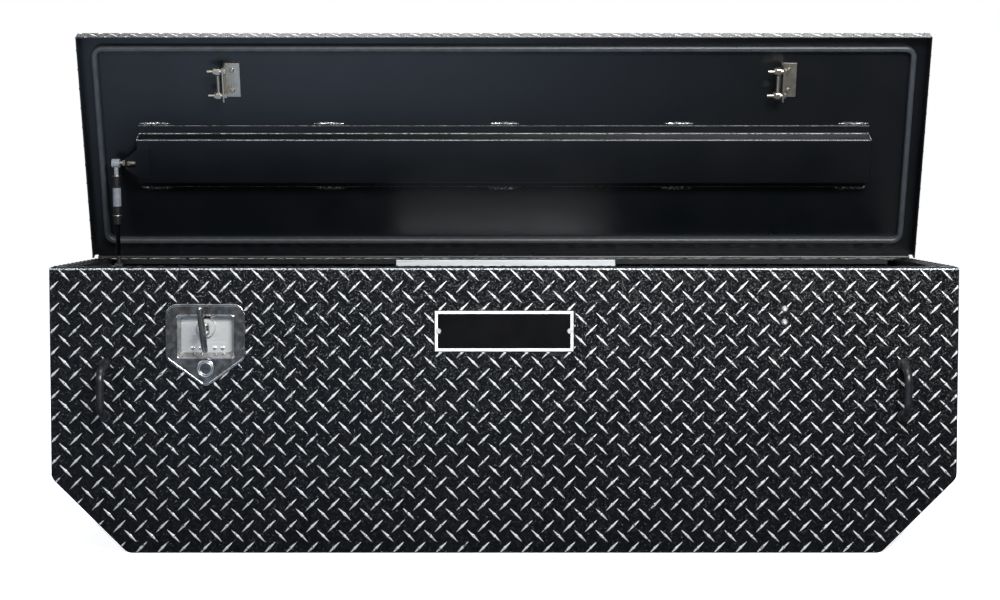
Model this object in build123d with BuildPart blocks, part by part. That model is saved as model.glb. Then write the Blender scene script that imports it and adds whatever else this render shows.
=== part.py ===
from build123d import *
import math
import os

os.makedirs("parts", exist_ok=True)

# A lockable aluminium tool box that stands across a truck bed, with its bottom corners cut to
# clear the wheel arches. X runs to the right, the front faces -Y, Z is up, and the origin is at
# the centre of the base. The lid stands open, held by its gas strut. Millimetres throughout.

# Box shell
box_width = 1524.0
box_depth = 419.0
box_height = 482.6
corner_cut = 127.0
sheet = 2.5
bend_radius = 20.0
fold_radius = 5.0
rim_width = 40.0
lip_height = 9.0
lip_end_gap = 12.0
mitre_gap = 0.2

# Lid
lid_open = 70.35
lid_depth = 30.0
lid_side_gap = 2.0
lid_front_gap = 3.0
lid_rise = 14.5
lid_rear_gap = 4.0
lid_fold_radius = 2.0
seal_width = 10.5
seal_height = 13.2
seal_inset = 22.0
seal_corner = 21.0
seal_round = 4.0

# Piano hinge along the rear edge
leaf_thickness = 1.5
leaf_height = 22.0
knuckle_radius = 4.0
hinge_pin_radius = 2.0
hinge_pin_lift = 2.0
knuckle_count = 30
hinge_end_gap = 4.0
knuckle_gap = 0.3
hinge_pin_end = 1.0
lid_leaf_gap = 1.5
rivet_count = 14
rivet_end_gap = 47.0
rivet_radius = 2.0
rivet_head_radius = 4.0
rivet_head_height = 1.5
bucked_head_radius = 3.0
box_rivet_drop = 16.0
lid_rivet_rise = 9.0

# Hat stiffener on the lid
hat_end_gap = 92.0
hat_height = 33.0
hat_crown = 83.0
hat_root = 88.0
hat_flange = 15.5
hat_sheet = 2.0
hat_from_hinge = 195.5
weld_length = 55.0
weld_width = 2.4
weld_end_gap = 30.0
weld_count = 5

# Strikers on the lid and the latches that hold them
striker_from_lock = 13.8
striker_from_side = 267.6
striker_from_front = 81.5
striker_length = 63.5
striker_plate = 3.0
striker_foot = 28.5
striker_drop = 38.0
striker_leg_offset = 7.6
striker_bar_drop = 30.5
striker_bar_radius = 4.0
striker_bar_shift = 1.5
striker_block = 13.0
striker_block_round = 3.0
striker_bolt_tail = 15.0
striker_bolt_pitch = 45.0
striker_bolt_radius = 3.0
striker_screw_pitch = 38.0
striker_screw_radius = 2.5
latch_offset = 24.0
latch_drop = 14.6
latch_bracket_width = 40.0
latch_bracket_sheet = 3.0
latch_bracket_reach = 44.0
latch_web_width = 32.0
latch_web_above = 16.0
latch_web_below = 12.0
latch_foot_margin = 11.0
latch_bolt_drop = 51.0
latch_shaft_radius = 5.0
latch_shaft_end = 2.0
claw_thickness = 7.0
claw_round = 4.0
claw_hook = 9.4
claw_margin = 1.5
claw_clear = 0.6
lever_radius = 23.0
lever_boss = 9.0
rod_pin_radius = 3.0
rod_pin_boss = 6.0
rod_pin_tail = 5.0
latch_bolt_pitch = 22.0
latch_bolt_radius = 3.0
lever_floor_gap = 2.3

# Folding T-handle lock in its pressed dish
lock_from_side = 261.2
hub_below_dish_top = 40.9
hub_turn = 83.0
handle_lean = 7.0
hub_radius = 15.5
hub_thickness = 7.0
hub_shaft_radius = 6.0
crank_radius = 25.0
crank_boss = 10.0
crank_tail = 30.0
crank_tail_radius = 5.0
lever_plate = 4.0
bush_wall = 2.0
bush_flange = 1.3
bush_flange_width = 2.5
shaft_square = 8.5
hub_thread_radius = 4.0
hub_thread_length = 7.0
crank_nut_flat = 6.5
hub_rim_chamfer = 1.0
dish_width = 133.0
dish_below_rim = 62.2
dish_side = 92.1
dish_height = 140.4
dish_sheet = 1.2
dish_corner = 19.0
dish_tip_radius = 14.0
dish_bead = 2.6
bead_width = 4.0
bead_round = 1.2
dish_stud_radius = 2.0
dish_stud_from_top = 9.4
dish_stud_above_key = 6.0
dish_stud_out = 2.5
dish_stud_in = 8.0
dish_stud_end = 0.8
dish_nut_thickness = 3.2
dish_nut_flat = 3.5
gasket_inset = 1.0
gasket_thickness = 0.8
recess_width = 95.6
recess_height = 71.2
recess_below_dish_top = 55.0
recess_depth = 15.0
recess_floor_width = 85.0
recess_floor_height = 57.5
recess_floor_lift = 1.6
recess_corner = 6.0
cylinder_above_tip = 32.1
cylinder_ring_radius = 15.0
cylinder_ring_height = 3.0
cylinder_barrel_radius = 11.0
cylinder_depth = 15.0
cylinder_nut_flat = 15.0
plug_radius = 9.0
plug_proud = 1.5
plug_tail_radius = 4.0
plug_tail_length = 6.0
key_slot_depth = 8.0
key_slot_width = 10.7
key_slot_height = 4.0
cam_length = 43.0
cam_width = 11.0
cam_thickness = 3.0
cam_lever_gap = 0.8
stem_length = 40.0
stem_radius = 3.8
grip_length = 76.0
grip_end_radius = 4.6
grip_middle_radius = 5.8
grip_round = 3.0
fold_eye_radius = 6.5
fold_eye_width = 8.0
fold_pin_radius = 2.5
fold_pin_end = 0.5
ear_thickness = 4.0
ear_radius = 6.0
ear_foot = 1.0

# Pull rod between the lock and the right latch
rod_below_dish_top = 13.4
rod_height = 14.0
rod_thickness = 3.0
rod_pad_margin = 3.5
rod_pad_width = 24.0
rod_from_front = 22.5

# Nameplate field, left bare, and the grab handles
plate_width = 233.0
plate_height = 68.5
plate_below_rim = 107.8
plate_thickness = 1.0
plate_corner = 2.0
plate_screw_from_end = 6.2
plate_screw_radius = 1.6
plate_screw_head = 5.0
plate_screw_head_height = 1.6
grab_from_side = 91.5
grab_below_rim = 207.1
grab_pitch = 88.0
grab_standoff = 46.0
grab_bar_radius = 6.5
grab_foot_radius = 9.5
grab_foot_thickness = 3.0
grab_bolt_radius = 3.0
grab_lean = 12.0
grab_bend = 18.0

# Sliding tray and its rails
tray_x = 3.5
tray_width = 404.0
tray_rim_gap = 12.5
tray_below_rim = 1.0
tray_end_below_rim = 27.0
tray_height = 90.0
tray_sheet = 1.6
tray_hem = 9.0
rail_latch_gap = 6.4
rail_past_rim = 27.0
rail_web = 25.0
glide_thickness = 3.0
glide_length = 40.0
glide_width = 14.0
glide_from_rail_edge = 2.0
glide_from_tray_end = 10.0

# Gas strut
strut_from_side = 52.0
strut_lid_reach = 191.0
strut_lid_drop = 15.0
strut_box_back = 57.0
strut_box_drop = 16.0
socket_radius = 8.0
socket_width = 14.0
strut_neck_radius = 4.0
lower_collar_radius = 6.5
strut_tube_radius = 7.5
strut_bore_radius = 6.2
strut_tube_start = 22.0
strut_tube_length = 90.0
strut_collar_radius = 8.2
strut_rod_radius = 4.0
strut_piston_radius = 6.15
strut_piston_length = 6.0
strut_piston_gap = 5.0
strut_tube_end = 3.0
strut_band_length = 2.5
strut_band_from_end = 17.0
strut_collar_gap = 1.0
strut_collar_length = 3.5
ball_radius = 5.0
ball_stud_radius = 3.0
ball_socket_wall = 1.5
anchor_sheet = 3.0
anchor_width = 40.0
anchor_height = 48.0
anchor_below_rim = 2.0
anchor_shelf_width = 20.0
anchor_shelf_drop = 10.6
anchor_lip_gap = 0.5
anchor_nut_flat = 4.0
anchor_nut_thickness = 4.0
anchor_stud_end = 2.0
bracket_ear_width = 18.0
bracket_ear_height = 19.0
bracket_reach = 22.0
bracket_lap = 24.0
bracket_taper = 4.0
bracket_wide_rear = 27.0
bracket_wide_front = 31.0
bracket_nut = 5.0
bracket_window_margin = 1.5
bracket_window_end = 3.0
stud_hat_gap = 3.0

# Clearances and small hardware
running_fit = 0.05
seat_gap = 0.3
slide_gap = 0.3
hole_gap = 0.2
nut_thickness = 4.0
nut_flat_radius = 5.0
dome_radius = 5.5
dome_height = 3.0
dome_taper = 40.0
screw_head_radius = 4.5
screw_head_taper = 30.0
rivet_head_taper = 35.0
ring_taper = 20.0
bolt_end = 1.5

half_width = box_width / 2
half_depth = box_depth / 2
front_y = -half_depth
rear_y = half_depth
wall_y = half_depth - sheet
rim_top = box_height
rim_under = box_height - sheet
rim_reach = rim_width + lip_end_gap
pin_y = rear_y + knuckle_radius
pin_z = rim_top + hinge_pin_lift

# Places on the front, taken from the nearest edge
lock_x = -(half_width - lock_from_side)
striker_xs = {"left": lock_x - striker_from_lock, "right": half_width - striker_from_side}
striker_from_hinge = box_depth + knuckle_radius - striker_from_front
dish_top = rim_top - dish_below_rim
dish_shoulder = dish_top - dish_side
dish_tip = dish_top - dish_height
hub_z = dish_top - hub_below_dish_top
recess_z = dish_top - recess_below_dish_top
recess_floor_z = recess_z + recess_floor_lift
cylinder_z = dish_tip + cylinder_above_tip
rod_z = dish_top - rod_below_dish_top
plate_z = rim_top - plate_below_rim
grab_x = half_width - grab_from_side
grab_z = rim_top - grab_below_rim
strut_x = -(half_width - strut_from_side)

open_angle = math.radians(lid_open)
lid_plane = Plane(
    origin=(0, pin_y, pin_z),
    x_dir=(1, 0, 0),
    z_dir=(0, math.sin(open_angle), math.cos(open_angle)),
)
shut_plane = Plane(origin=(0, pin_y, pin_z))

# In the lid's own plane the pin is the origin, Y points from front to rear and Z points out of
# the lid's top.
lid_inside = lid_rise - hinge_pin_lift
lid_top = lid_inside + sheet
lid_tip = lid_top - lid_depth
lid_half = half_width + lid_side_gap + sheet
lid_rear = -knuckle_radius
lid_front = -(knuckle_radius + box_depth + lid_front_gap + sheet)
lid_middle = (lid_front + lid_rear) / 2
lid_length = lid_rear - lid_front
lid_up = Axis(lid_plane.origin, lid_plane.z_dir)


def lid_level(height):
    return lid_plane.offset(height)


def lid_slice(x):
    origin = lid_plane.from_local_coords((x, 0, 0))
    return Plane(origin=origin, x_dir=lid_plane.y_dir, z_dir=(1, 0, 0))


def front_plane(y):
    return Plane.XZ.offset(-y)


def slice_at(x, y, z):
    return Plane(origin=(x, y, z), x_dir=(0, 1, 0), z_dir=(1, 0, 0))


def turned_plane(x, y, z, angle):
    # Faces the front, with its X and Z turned counter-clockwise as seen from the front.
    turn = math.radians(angle)
    return Plane(origin=(x, y, z), x_dir=(math.cos(turn), 0, math.sin(turn)), z_dir=(0, -1, 0))


def keep(piece, name):
    piece.part.label = name
    export_step(piece.part, f"parts/{name}.step")


def shell_outline(inset):
    # The closed outline of the box seen from the front, below its folded rim.
    shift = inset * math.tan(math.radians(45 / 2))
    side = half_width - inset
    flat = half_width - corner_cut - shift
    knee = corner_cut + shift
    points = [(-side, rim_under), (-side, knee), (-flat, inset), (flat, inset), (side, knee), (side, rim_under)]
    with BuildSketch(Plane.XZ) as outline:
        with BuildLine():
            bent = FilletPolyline(*points, radius=bend_radius - inset)
            Line(bent @ 1, bent @ 0)
        make_face()
    return outline.sketch


def fold_corner(plane, across, length):
    # The sharp corner that a long top edge loses where the sheet folds over into the rim.
    side = 1 if across > 0 else -1
    with BuildPart() as corner:
        with BuildSketch(plane):
            with Locations((across - side * fold_radius / 2, rim_top - fold_radius / 2)):
                Rectangle(fold_radius, fold_radius)
            with Locations((across - side * fold_radius, rim_top - fold_radius)):
                Circle(fold_radius, mode=Mode.SUBTRACT)
        extrude(amount=length, both=True)
    return corner.part


outer_outline = shell_outline(0)
inner_outline = shell_outline(sheet)

with BuildPart() as wrap_shell:
    add(extrude(outer_outline - inner_outline, amount=wall_y, both=True))
    with BuildSketch(Plane.XY.offset(rim_under)):
        for side in (-1, 1):
            outer = side * half_width
            inner = side * (half_width - rim_width)
            long_end = half_depth - mitre_gap
            short_end = long_end - rim_width
            with BuildLine():
                Polyline((outer, -long_end), (outer, long_end), (inner, short_end), (inner, -short_end),
                         close=True)
            make_face()
    extrude(amount=sheet)
    with BuildSketch(Plane.XY.offset(rim_top - lip_height)):
        with Locations(*[(side * (half_width - rim_width + sheet / 2), 0) for side in (-1, 1)]):
            Rectangle(sheet, 2 * (half_depth - rim_reach))
    extrude(amount=lip_height - sheet)
    for side in (-1, 1):
        add(fold_corner(Plane.XZ, side * half_width, half_depth), mode=Mode.SUBTRACT)
keep(wrap_shell, "wrap_shell")

# Lock, latch and fastener places on the front panel
dish_back_y = front_y - gasket_thickness
dish_face_y = dish_back_y - dish_sheet
floor_y = dish_face_y + recess_depth
floor_back_y = floor_y + dish_sheet
latch_z = pin_z + lid_inside - striker_bar_drop - latch_drop
latch_xs = {side: x - latch_offset for side, x in striker_xs.items()}
dish_stud_z = dish_top - dish_stud_from_top
dish_low_stud_z = cylinder_z + dish_stud_above_key
dish_stud_spots = [
    (latch_xs["left"] - latch_offset / 2, dish_stud_z),
    (latch_xs["left"] + latch_offset / 2, dish_stud_z),
    (lock_x + recess_width / 2 + dish_stud_out, dish_stud_z),
    (lock_x - recess_width / 2 + dish_stud_in, dish_low_stud_z),
    (lock_x + recess_width / 2 - dish_stud_in, dish_low_stud_z),
]
latch_bolt_z = latch_z - latch_bolt_drop
latch_bolt_spots = [(latch_xs["right"], latch_bolt_z + k * latch_bolt_pitch / 2) for k in (-1, 1)]
grab_bolt_spots = [(s * grab_x, grab_z + k * grab_pitch / 2) for s in (-1, 1) for k in (-1, 1)]
plate_screw_spots = [(s * (plate_width / 2 - plate_screw_from_end), plate_z) for s in (-1, 1)]
pocket_outside = 2 * (dish_sheet + seat_gap)


def end_panel(face_y):
    # A flat panel of the full outline, folded inward at the top as one side of the rim.
    side = 1 if face_y > 0 else -1
    inner_y = face_y - side * sheet
    rim_inner = face_y - side * rim_width
    with BuildPart() as panel:
        middle = Location((0, (face_y + inner_y) / 2, 0))
        extrude(outer_outline.moved(middle), amount=sheet / 2, both=True)
        with BuildSketch(Plane.XY.offset(rim_under)):
            with BuildLine():
                Polyline((-half_width, face_y), (half_width, face_y), (half_width - rim_width, rim_inner),
                         (-(half_width - rim_width), rim_inner), close=True)
            make_face()
        extrude(amount=sheet)
        with BuildSketch(Plane.XY.offset(rim_top - lip_height)):
            with Locations((0, rim_inner + side * sheet / 2)):
                Rectangle(2 * (half_width - rim_reach), sheet)
        extrude(amount=lip_height - sheet)
        add(fold_corner(slice_at(0, 0, 0), face_y, half_width), mode=Mode.SUBTRACT)
    return panel


front_blank = end_panel(front_y)
with BuildPart() as front_panel:
    add(front_blank.part)
    with BuildSketch(front_plane(front_y)):
        with Locations((lock_x, recess_z)):
            RectangleRounded(recess_width + pocket_outside, recess_height + pocket_outside,
                             recess_corner + dish_sheet)
        with Locations((lock_x, cylinder_z)):
            Circle(cylinder_barrel_radius + hole_gap)
        with Locations(*dish_stud_spots):
            Circle(dish_stud_radius + hole_gap)
        with Locations(*latch_bolt_spots):
            Circle(latch_bolt_radius + hole_gap)
        with Locations(*grab_bolt_spots):
            Circle(grab_bolt_radius + hole_gap)
        with Locations(*plate_screw_spots):
            Circle(plate_screw_radius + hole_gap)
    extrude(amount=-sheet, mode=Mode.SUBTRACT)
keep(front_panel, "front_panel")

# Rear panel with the rivet holes of the hinge
rivet_x0 = -(half_width - rivet_end_gap)
rivet_xs = [rivet_x0 - 2 * rivet_x0 * k / (rivet_count - 1) for k in range(rivet_count)]
rear_blank = end_panel(rear_y)
with BuildPart() as rear_panel:
    add(rear_blank.part)
    with BuildSketch(front_plane(rear_y)):
        with Locations(*[(x, pin_z - box_rivet_drop) for x in rivet_xs]):
            Circle(rivet_radius + running_fit)
    extrude(amount=sheet, mode=Mode.SUBTRACT)
keep(rear_panel, "rear_panel")

# Piano hinge: two leaves with alternating knuckles on one long pin
hinge_length = box_width - 2 * hinge_end_gap
knuckle_pitch = hinge_length / knuckle_count
knuckle_bore = hinge_pin_radius + running_fit
leaf_start = knuckle_radius + knuckle_gap
leaf_overlap = 0.5


def hinge_leaf(base, first, up, hole_rise, height):
    # A leaf lies against the rear face below or above the pin, with every second knuckle.
    face = Plane(origin=base.from_local_coords((0, lid_rear, 0)), x_dir=(1, 0, 0), z_dir=-base.y_dir)
    middles = [-hinge_length / 2 + knuckle_pitch * (k + 0.5) for k in range(first, knuckle_count, 2)]
    with BuildPart() as leaf:
        with BuildSketch(face):
            with Locations((0, up * (leaf_start + height) / 2)):
                Rectangle(hinge_length, height - leaf_start)
            with Locations(*[(x, up * (leaf_start + leaf_overlap) / 2) for x in middles]):
                Rectangle(knuckle_pitch - knuckle_gap, leaf_start + leaf_overlap)
        extrude(amount=-leaf_thickness)
        for x in middles:
            middle = base.from_local_coords((x, 0, 0))
            with BuildSketch(Plane(origin=middle, x_dir=base.y_dir, z_dir=(1, 0, 0))):
                Circle(knuckle_radius)
            extrude(amount=(knuckle_pitch - knuckle_gap) / 2, both=True)
        with BuildSketch(Plane(origin=base.origin, x_dir=base.y_dir, z_dir=(1, 0, 0))):
            Circle(knuckle_bore)
        extrude(amount=hinge_length / 2, both=True, mode=Mode.SUBTRACT)
        with BuildSketch(face):
            with Locations(*[(x, up * hole_rise) for x in rivet_xs]):
                Circle(rivet_radius + running_fit)
        extrude(amount=-leaf_thickness, mode=Mode.SUBTRACT)
    return leaf


hinge_box_leaf = hinge_leaf(shut_plane, 0, -1, box_rivet_drop, leaf_height)
keep(hinge_box_leaf, "hinge_box_leaf")
hinge_lid_leaf = hinge_leaf(lid_plane, 1, 1, lid_rivet_rise, lid_top - lid_leaf_gap)
keep(hinge_lid_leaf, "hinge_lid_leaf")

with BuildPart() as hinge_pin:
    with BuildSketch(slice_at(0, pin_y, pin_z)):
        Circle(hinge_pin_radius)
    extrude(amount=hinge_length / 2 + hinge_pin_end, both=True)
keep(hinge_pin, "hinge_pin")


def hinge_rivets(base, rise):
    # Domed outside, with a flat bucked head inside the sheet.
    outside = base.from_local_coords((0, lid_rear + leaf_thickness, 0))
    face = Plane(origin=outside, x_dir=(1, 0, 0), z_dir=base.y_dir)
    grip = leaf_thickness + sheet
    with BuildPart() as rivets:
        with BuildSketch(face.offset(-grip - rivet_head_height)):
            with Locations(*[(x, -rise) for x in rivet_xs]):
                Circle(rivet_radius)
        extrude(amount=grip + 2 * rivet_head_height)
        with BuildSketch(face):
            with Locations(*[(x, -rise) for x in rivet_xs]):
                Circle(rivet_head_radius)
        extrude(amount=rivet_head_height, taper=rivet_head_taper)
        with BuildSketch(face.offset(-grip)):
            with Locations(*[(x, -rise) for x in rivet_xs]):
                Circle(bucked_head_radius)
        extrude(amount=-rivet_head_height)
    return rivets


keep(hinge_rivets(shut_plane, -box_rivet_drop), "hinge_rivets_box")
keep(hinge_rivets(lid_plane, lid_rivet_rise), "hinge_rivets_lid")

# Lid pan
striker_middle = -striker_from_hinge
striker_screw_ys = [striker_middle + k * striker_screw_pitch / 2 for k in (-1, 1)]
striker_leg_xs = {side: x + striker_leg_offset for side, x in striker_xs.items()}
striker_screw_xs = {side: x + striker_foot / 2 for side, x in striker_leg_xs.items()}
striker_screw_spots = [(x, y) for x in striker_screw_xs.values() for y in striker_screw_ys]

with BuildPart() as lid_panel:
    with BuildSketch(lid_level(lid_tip)):
        with Locations((0, lid_middle)):
            Rectangle(2 * lid_half, lid_length)
    extrude(amount=lid_depth)
    with BuildSketch(lid_level(lid_tip)):
        with Locations((0, lid_middle)):
            Rectangle(2 * (lid_half - sheet), lid_length - 2 * sheet)
    extrude(amount=lid_depth - sheet, mode=Mode.SUBTRACT)
    with BuildSketch(lid_level(lid_tip)):
        with Locations((0, lid_rear - sheet / 2)):
            Rectangle(2 * (lid_half - sheet), sheet)
    extrude(amount=lid_rear_gap - hinge_pin_lift - lid_tip, mode=Mode.SUBTRACT)
    top_edges = lid_panel.faces().filter_by(lid_up).sort_by(lid_up)[-1].outer_wire().edges()
    fillet(top_edges, lid_fold_radius)
    with BuildSketch(lid_level(lid_inside)):
        with Locations(*striker_screw_spots):
            Circle(striker_screw_radius + hole_gap)
    extrude(amount=sheet, mode=Mode.SUBTRACT)
    rear_middle = lid_plane.from_local_coords((0, lid_rear, 0))
    with BuildSketch(Plane(origin=rear_middle, x_dir=(1, 0, 0), z_dir=-lid_plane.y_dir)):
        with Locations(*[(x, lid_rivet_rise) for x in rivet_xs]):
            Circle(rivet_radius + running_fit)
    extrude(amount=sheet, mode=Mode.SUBTRACT)
keep(lid_panel, "lid_panel")

# Bulb seal, a closed ring that meets the rim when the lid is shut
seal_half = lid_half - seal_inset
seal_length = lid_length - 2 * seal_inset
with BuildPart() as lid_seal:
    with BuildSketch(lid_level(lid_inside)):
        with Locations((0, lid_middle)):
            RectangleRounded(2 * seal_half, seal_length, seal_corner)
            RectangleRounded(2 * (seal_half - seal_width), seal_length - 2 * seal_width,
                             seal_corner - seal_width, mode=Mode.SUBTRACT)
    extrude(amount=-seal_height)
    seal_bottom = lid_seal.faces().filter_by(lid_up).sort_by(lid_up)[0]
    fillet(seal_bottom.edges(), seal_round)
keep(lid_seal, "lid_seal")

# Hat-section stiffener, stitch welded to the lid along both flanges
hat_length = box_width - 2 * hat_end_gap
crown_level = lid_inside - hat_height
hat_outer = [
    (-hat_root / 2 - hat_flange, lid_inside),
    (-hat_root / 2 - hat_flange, lid_inside - hat_sheet),
    (-hat_root / 2, lid_inside - hat_sheet),
    (-hat_crown / 2, crown_level),
]
hat_inner = [
    (-hat_root / 2 + hat_sheet, lid_inside),
    (-hat_crown / 2 + hat_sheet, crown_level + hat_sheet),
]
hat_points = hat_outer + [(-x, y) for x, y in reversed(hat_outer)]
hat_points = hat_points + [(-x, y) for x, y in hat_inner] + list(reversed(hat_inner))
with BuildPart() as lid_stiffener:
    with BuildSketch(lid_slice(0)):
        with BuildLine():
            Polyline(*[(x - hat_from_hinge, y) for x, y in hat_points], close=True)
        make_face()
    extrude(amount=hat_length / 2, both=True)
keep(lid_stiffener, "lid_stiffener")

weld_span = hat_length - 2 * weld_end_gap
hat_edges = [-hat_from_hinge - hat_root / 2 - hat_flange, -hat_from_hinge + hat_root / 2 + hat_flange]
with BuildPart() as stitch_welds:
    for k in range(weld_count):
        for y, away in zip(hat_edges, (-1, 1)):
            place = (k / (weld_count - 1) - 0.5) * weld_span
            middle = lid_plane.from_local_coords((place, y, lid_inside))
            with BuildSketch(Plane(origin=middle, x_dir=lid_plane.y_dir, z_dir=(1, 0, 0))):
                with BuildLine():
                    Polyline((0, 0), (away * weld_width, 0), (0, -hat_sheet), close=True)
                make_face()
            extrude(amount=weld_length / 2, both=True)
keep(stitch_welds, "stitch_welds")


def polygon_nuts(plane, spots, thickness, bore, flat_radius=nut_flat_radius):
    with BuildPart() as nuts:
        with BuildSketch(plane):
            with Locations(*spots):
                RegularPolygon(flat_radius, 6, major_radius=False)
                Circle(bore, mode=Mode.SUBTRACT)
        extrude(amount=thickness)
    return nuts


# Strikers: a bent plate under the lid whose bar the latch claw hooks over
bar_level = lid_inside - striker_bar_drop
striker_leg_end = lid_inside - striker_drop
bolt_ys = [striker_middle - striker_bar_shift + k * striker_bolt_pitch / 2 for k in (-1, 1)]
for side, bar_x in striker_xs.items():
    leg_x = striker_leg_xs[side]
    with BuildPart() as striker:
        with BuildSketch(lid_level(lid_inside)):
            with Locations((leg_x + striker_foot / 2, striker_middle)):
                Rectangle(striker_foot, striker_length)
            with Locations(*[(striker_screw_xs[side], y) for y in striker_screw_ys]):
                Circle(striker_screw_radius + hole_gap, mode=Mode.SUBTRACT)
        extrude(amount=-striker_plate)
        with BuildSketch(lid_slice(leg_x)):
            with Locations((striker_middle, (lid_inside + striker_leg_end) / 2)):
                Rectangle(striker_length, striker_drop)
            with Locations(*[(y, bar_level) for y in bolt_ys]):
                Circle(striker_bolt_radius + hole_gap, mode=Mode.SUBTRACT)
        extrude(amount=striker_plate)
    keep(striker, f"striker_{side}")
    with BuildPart() as striker_bar:
        middle = lid_plane.from_local_coords((bar_x, bolt_ys[0] - striker_block / 2, bar_level))
        bar_span = bolt_ys[1] - bolt_ys[0] + striker_block
        with BuildSketch(Plane(origin=middle, x_dir=(1, 0, 0), z_dir=lid_plane.y_dir)):
            Circle(striker_bar_radius)
        extrude(amount=bar_span)
        with BuildSketch(lid_slice(bar_x - striker_bar_radius)):
            with Locations(*[(y, bar_level) for y in bolt_ys]):
                RectangleRounded(striker_block, striker_block, striker_block_round)
        extrude(amount=2 * striker_bar_radius)
        with BuildSketch(lid_slice(bar_x - striker_bar_radius)):
            with Locations(*[(y, bar_level) for y in bolt_ys]):
                Circle(striker_bolt_radius + running_fit)
        extrude(amount=2 * striker_bar_radius, mode=Mode.SUBTRACT)
    keep(striker_bar, f"striker_bar_{side}")

spacer_length = striker_leg_offset - striker_bar_radius
with BuildPart() as striker_bolts:
    for side, bar_x in striker_xs.items():
        leg_x = striker_leg_xs[side]
        spots = [(y, bar_level) for y in bolt_ys]
        with BuildSketch(lid_slice(bar_x - striker_bar_radius - striker_bolt_tail)):
            with Locations(*spots):
                Circle(striker_bolt_radius)
        extrude(amount=striker_bolt_tail + striker_bar_radius + striker_leg_offset + striker_plate)
        with BuildSketch(lid_slice(leg_x + striker_plate)):
            with Locations(*spots):
                RegularPolygon(nut_flat_radius, 6, major_radius=False)
        extrude(amount=nut_thickness)
keep(striker_bolts, "striker_bolts")

with BuildPart() as striker_nuts:
    for side, bar_x in striker_xs.items():
        spots = [(y, bar_level) for y in bolt_ys]
        with BuildSketch(lid_slice(bar_x - striker_bar_radius - nut_thickness)):
            with Locations(*spots):
                RegularPolygon(nut_flat_radius, 6, major_radius=False)
                Circle(striker_bolt_radius + running_fit, mode=Mode.SUBTRACT)
        extrude(amount=nut_thickness)
        with BuildSketch(lid_slice(bar_x + striker_bar_radius)):
            with Locations(*spots):
                Circle(nut_flat_radius)
                Circle(striker_bolt_radius + running_fit, mode=Mode.SUBTRACT)
        extrude(amount=spacer_length)
keep(striker_nuts, "striker_nuts")

with BuildPart() as striker_screws:
    with BuildSketch(lid_level(lid_inside - striker_plate)):
        with Locations(*striker_screw_spots):
            Circle(striker_screw_radius)
    extrude(amount=striker_plate + sheet)
    with BuildSketch(lid_level(lid_inside - striker_plate)):
        with Locations(*striker_screw_spots):
            Circle(screw_head_radius)
    extrude(amount=-dome_height, taper=screw_head_taper)
    with BuildSketch(lid_level(lid_top)):
        with Locations(*striker_screw_spots):
            Circle(dome_radius)
    extrude(amount=dome_height, taper=dome_taper)
keep(striker_screws, "striker_screws")

# Latch brackets, claws and their cross shafts behind the front panel
rod_half_travel = crank_radius * math.sin(math.radians(hub_turn / 2))
claw_turn = 2 * math.degrees(math.asin(rod_half_travel / lever_radius))
claw_reach = latch_offset + striker_bar_radius + claw_margin
claw_mouth = latch_offset - striker_bar_radius - claw_margin
claw_top = latch_drop + striker_bar_radius + claw_hook
claw_boss = lever_boss - 1.0
plate_y = -wall_y
bracket_back_y = plate_y + latch_bracket_reach
lever_front_y = floor_back_y + lever_floor_gap
lever_back_y = lever_front_y + lever_plate
rod_y = front_y + rod_from_front
claw_y = pin_y + striker_middle - striker_bar_shift
latch_foot_zs = {
    "left": dish_stud_z - dish_nut_flat - 3.5,
    "right": latch_bolt_z - latch_bolt_pitch / 2 - latch_foot_margin,
}
latch_holes = {"left": dish_stud_spots[:2], "right": latch_bolt_spots}
latch_hole_radii = {"left": dish_stud_radius + hole_gap, "right": latch_bolt_radius + hole_gap}
ear_low = latch_z - latch_web_below

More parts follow.
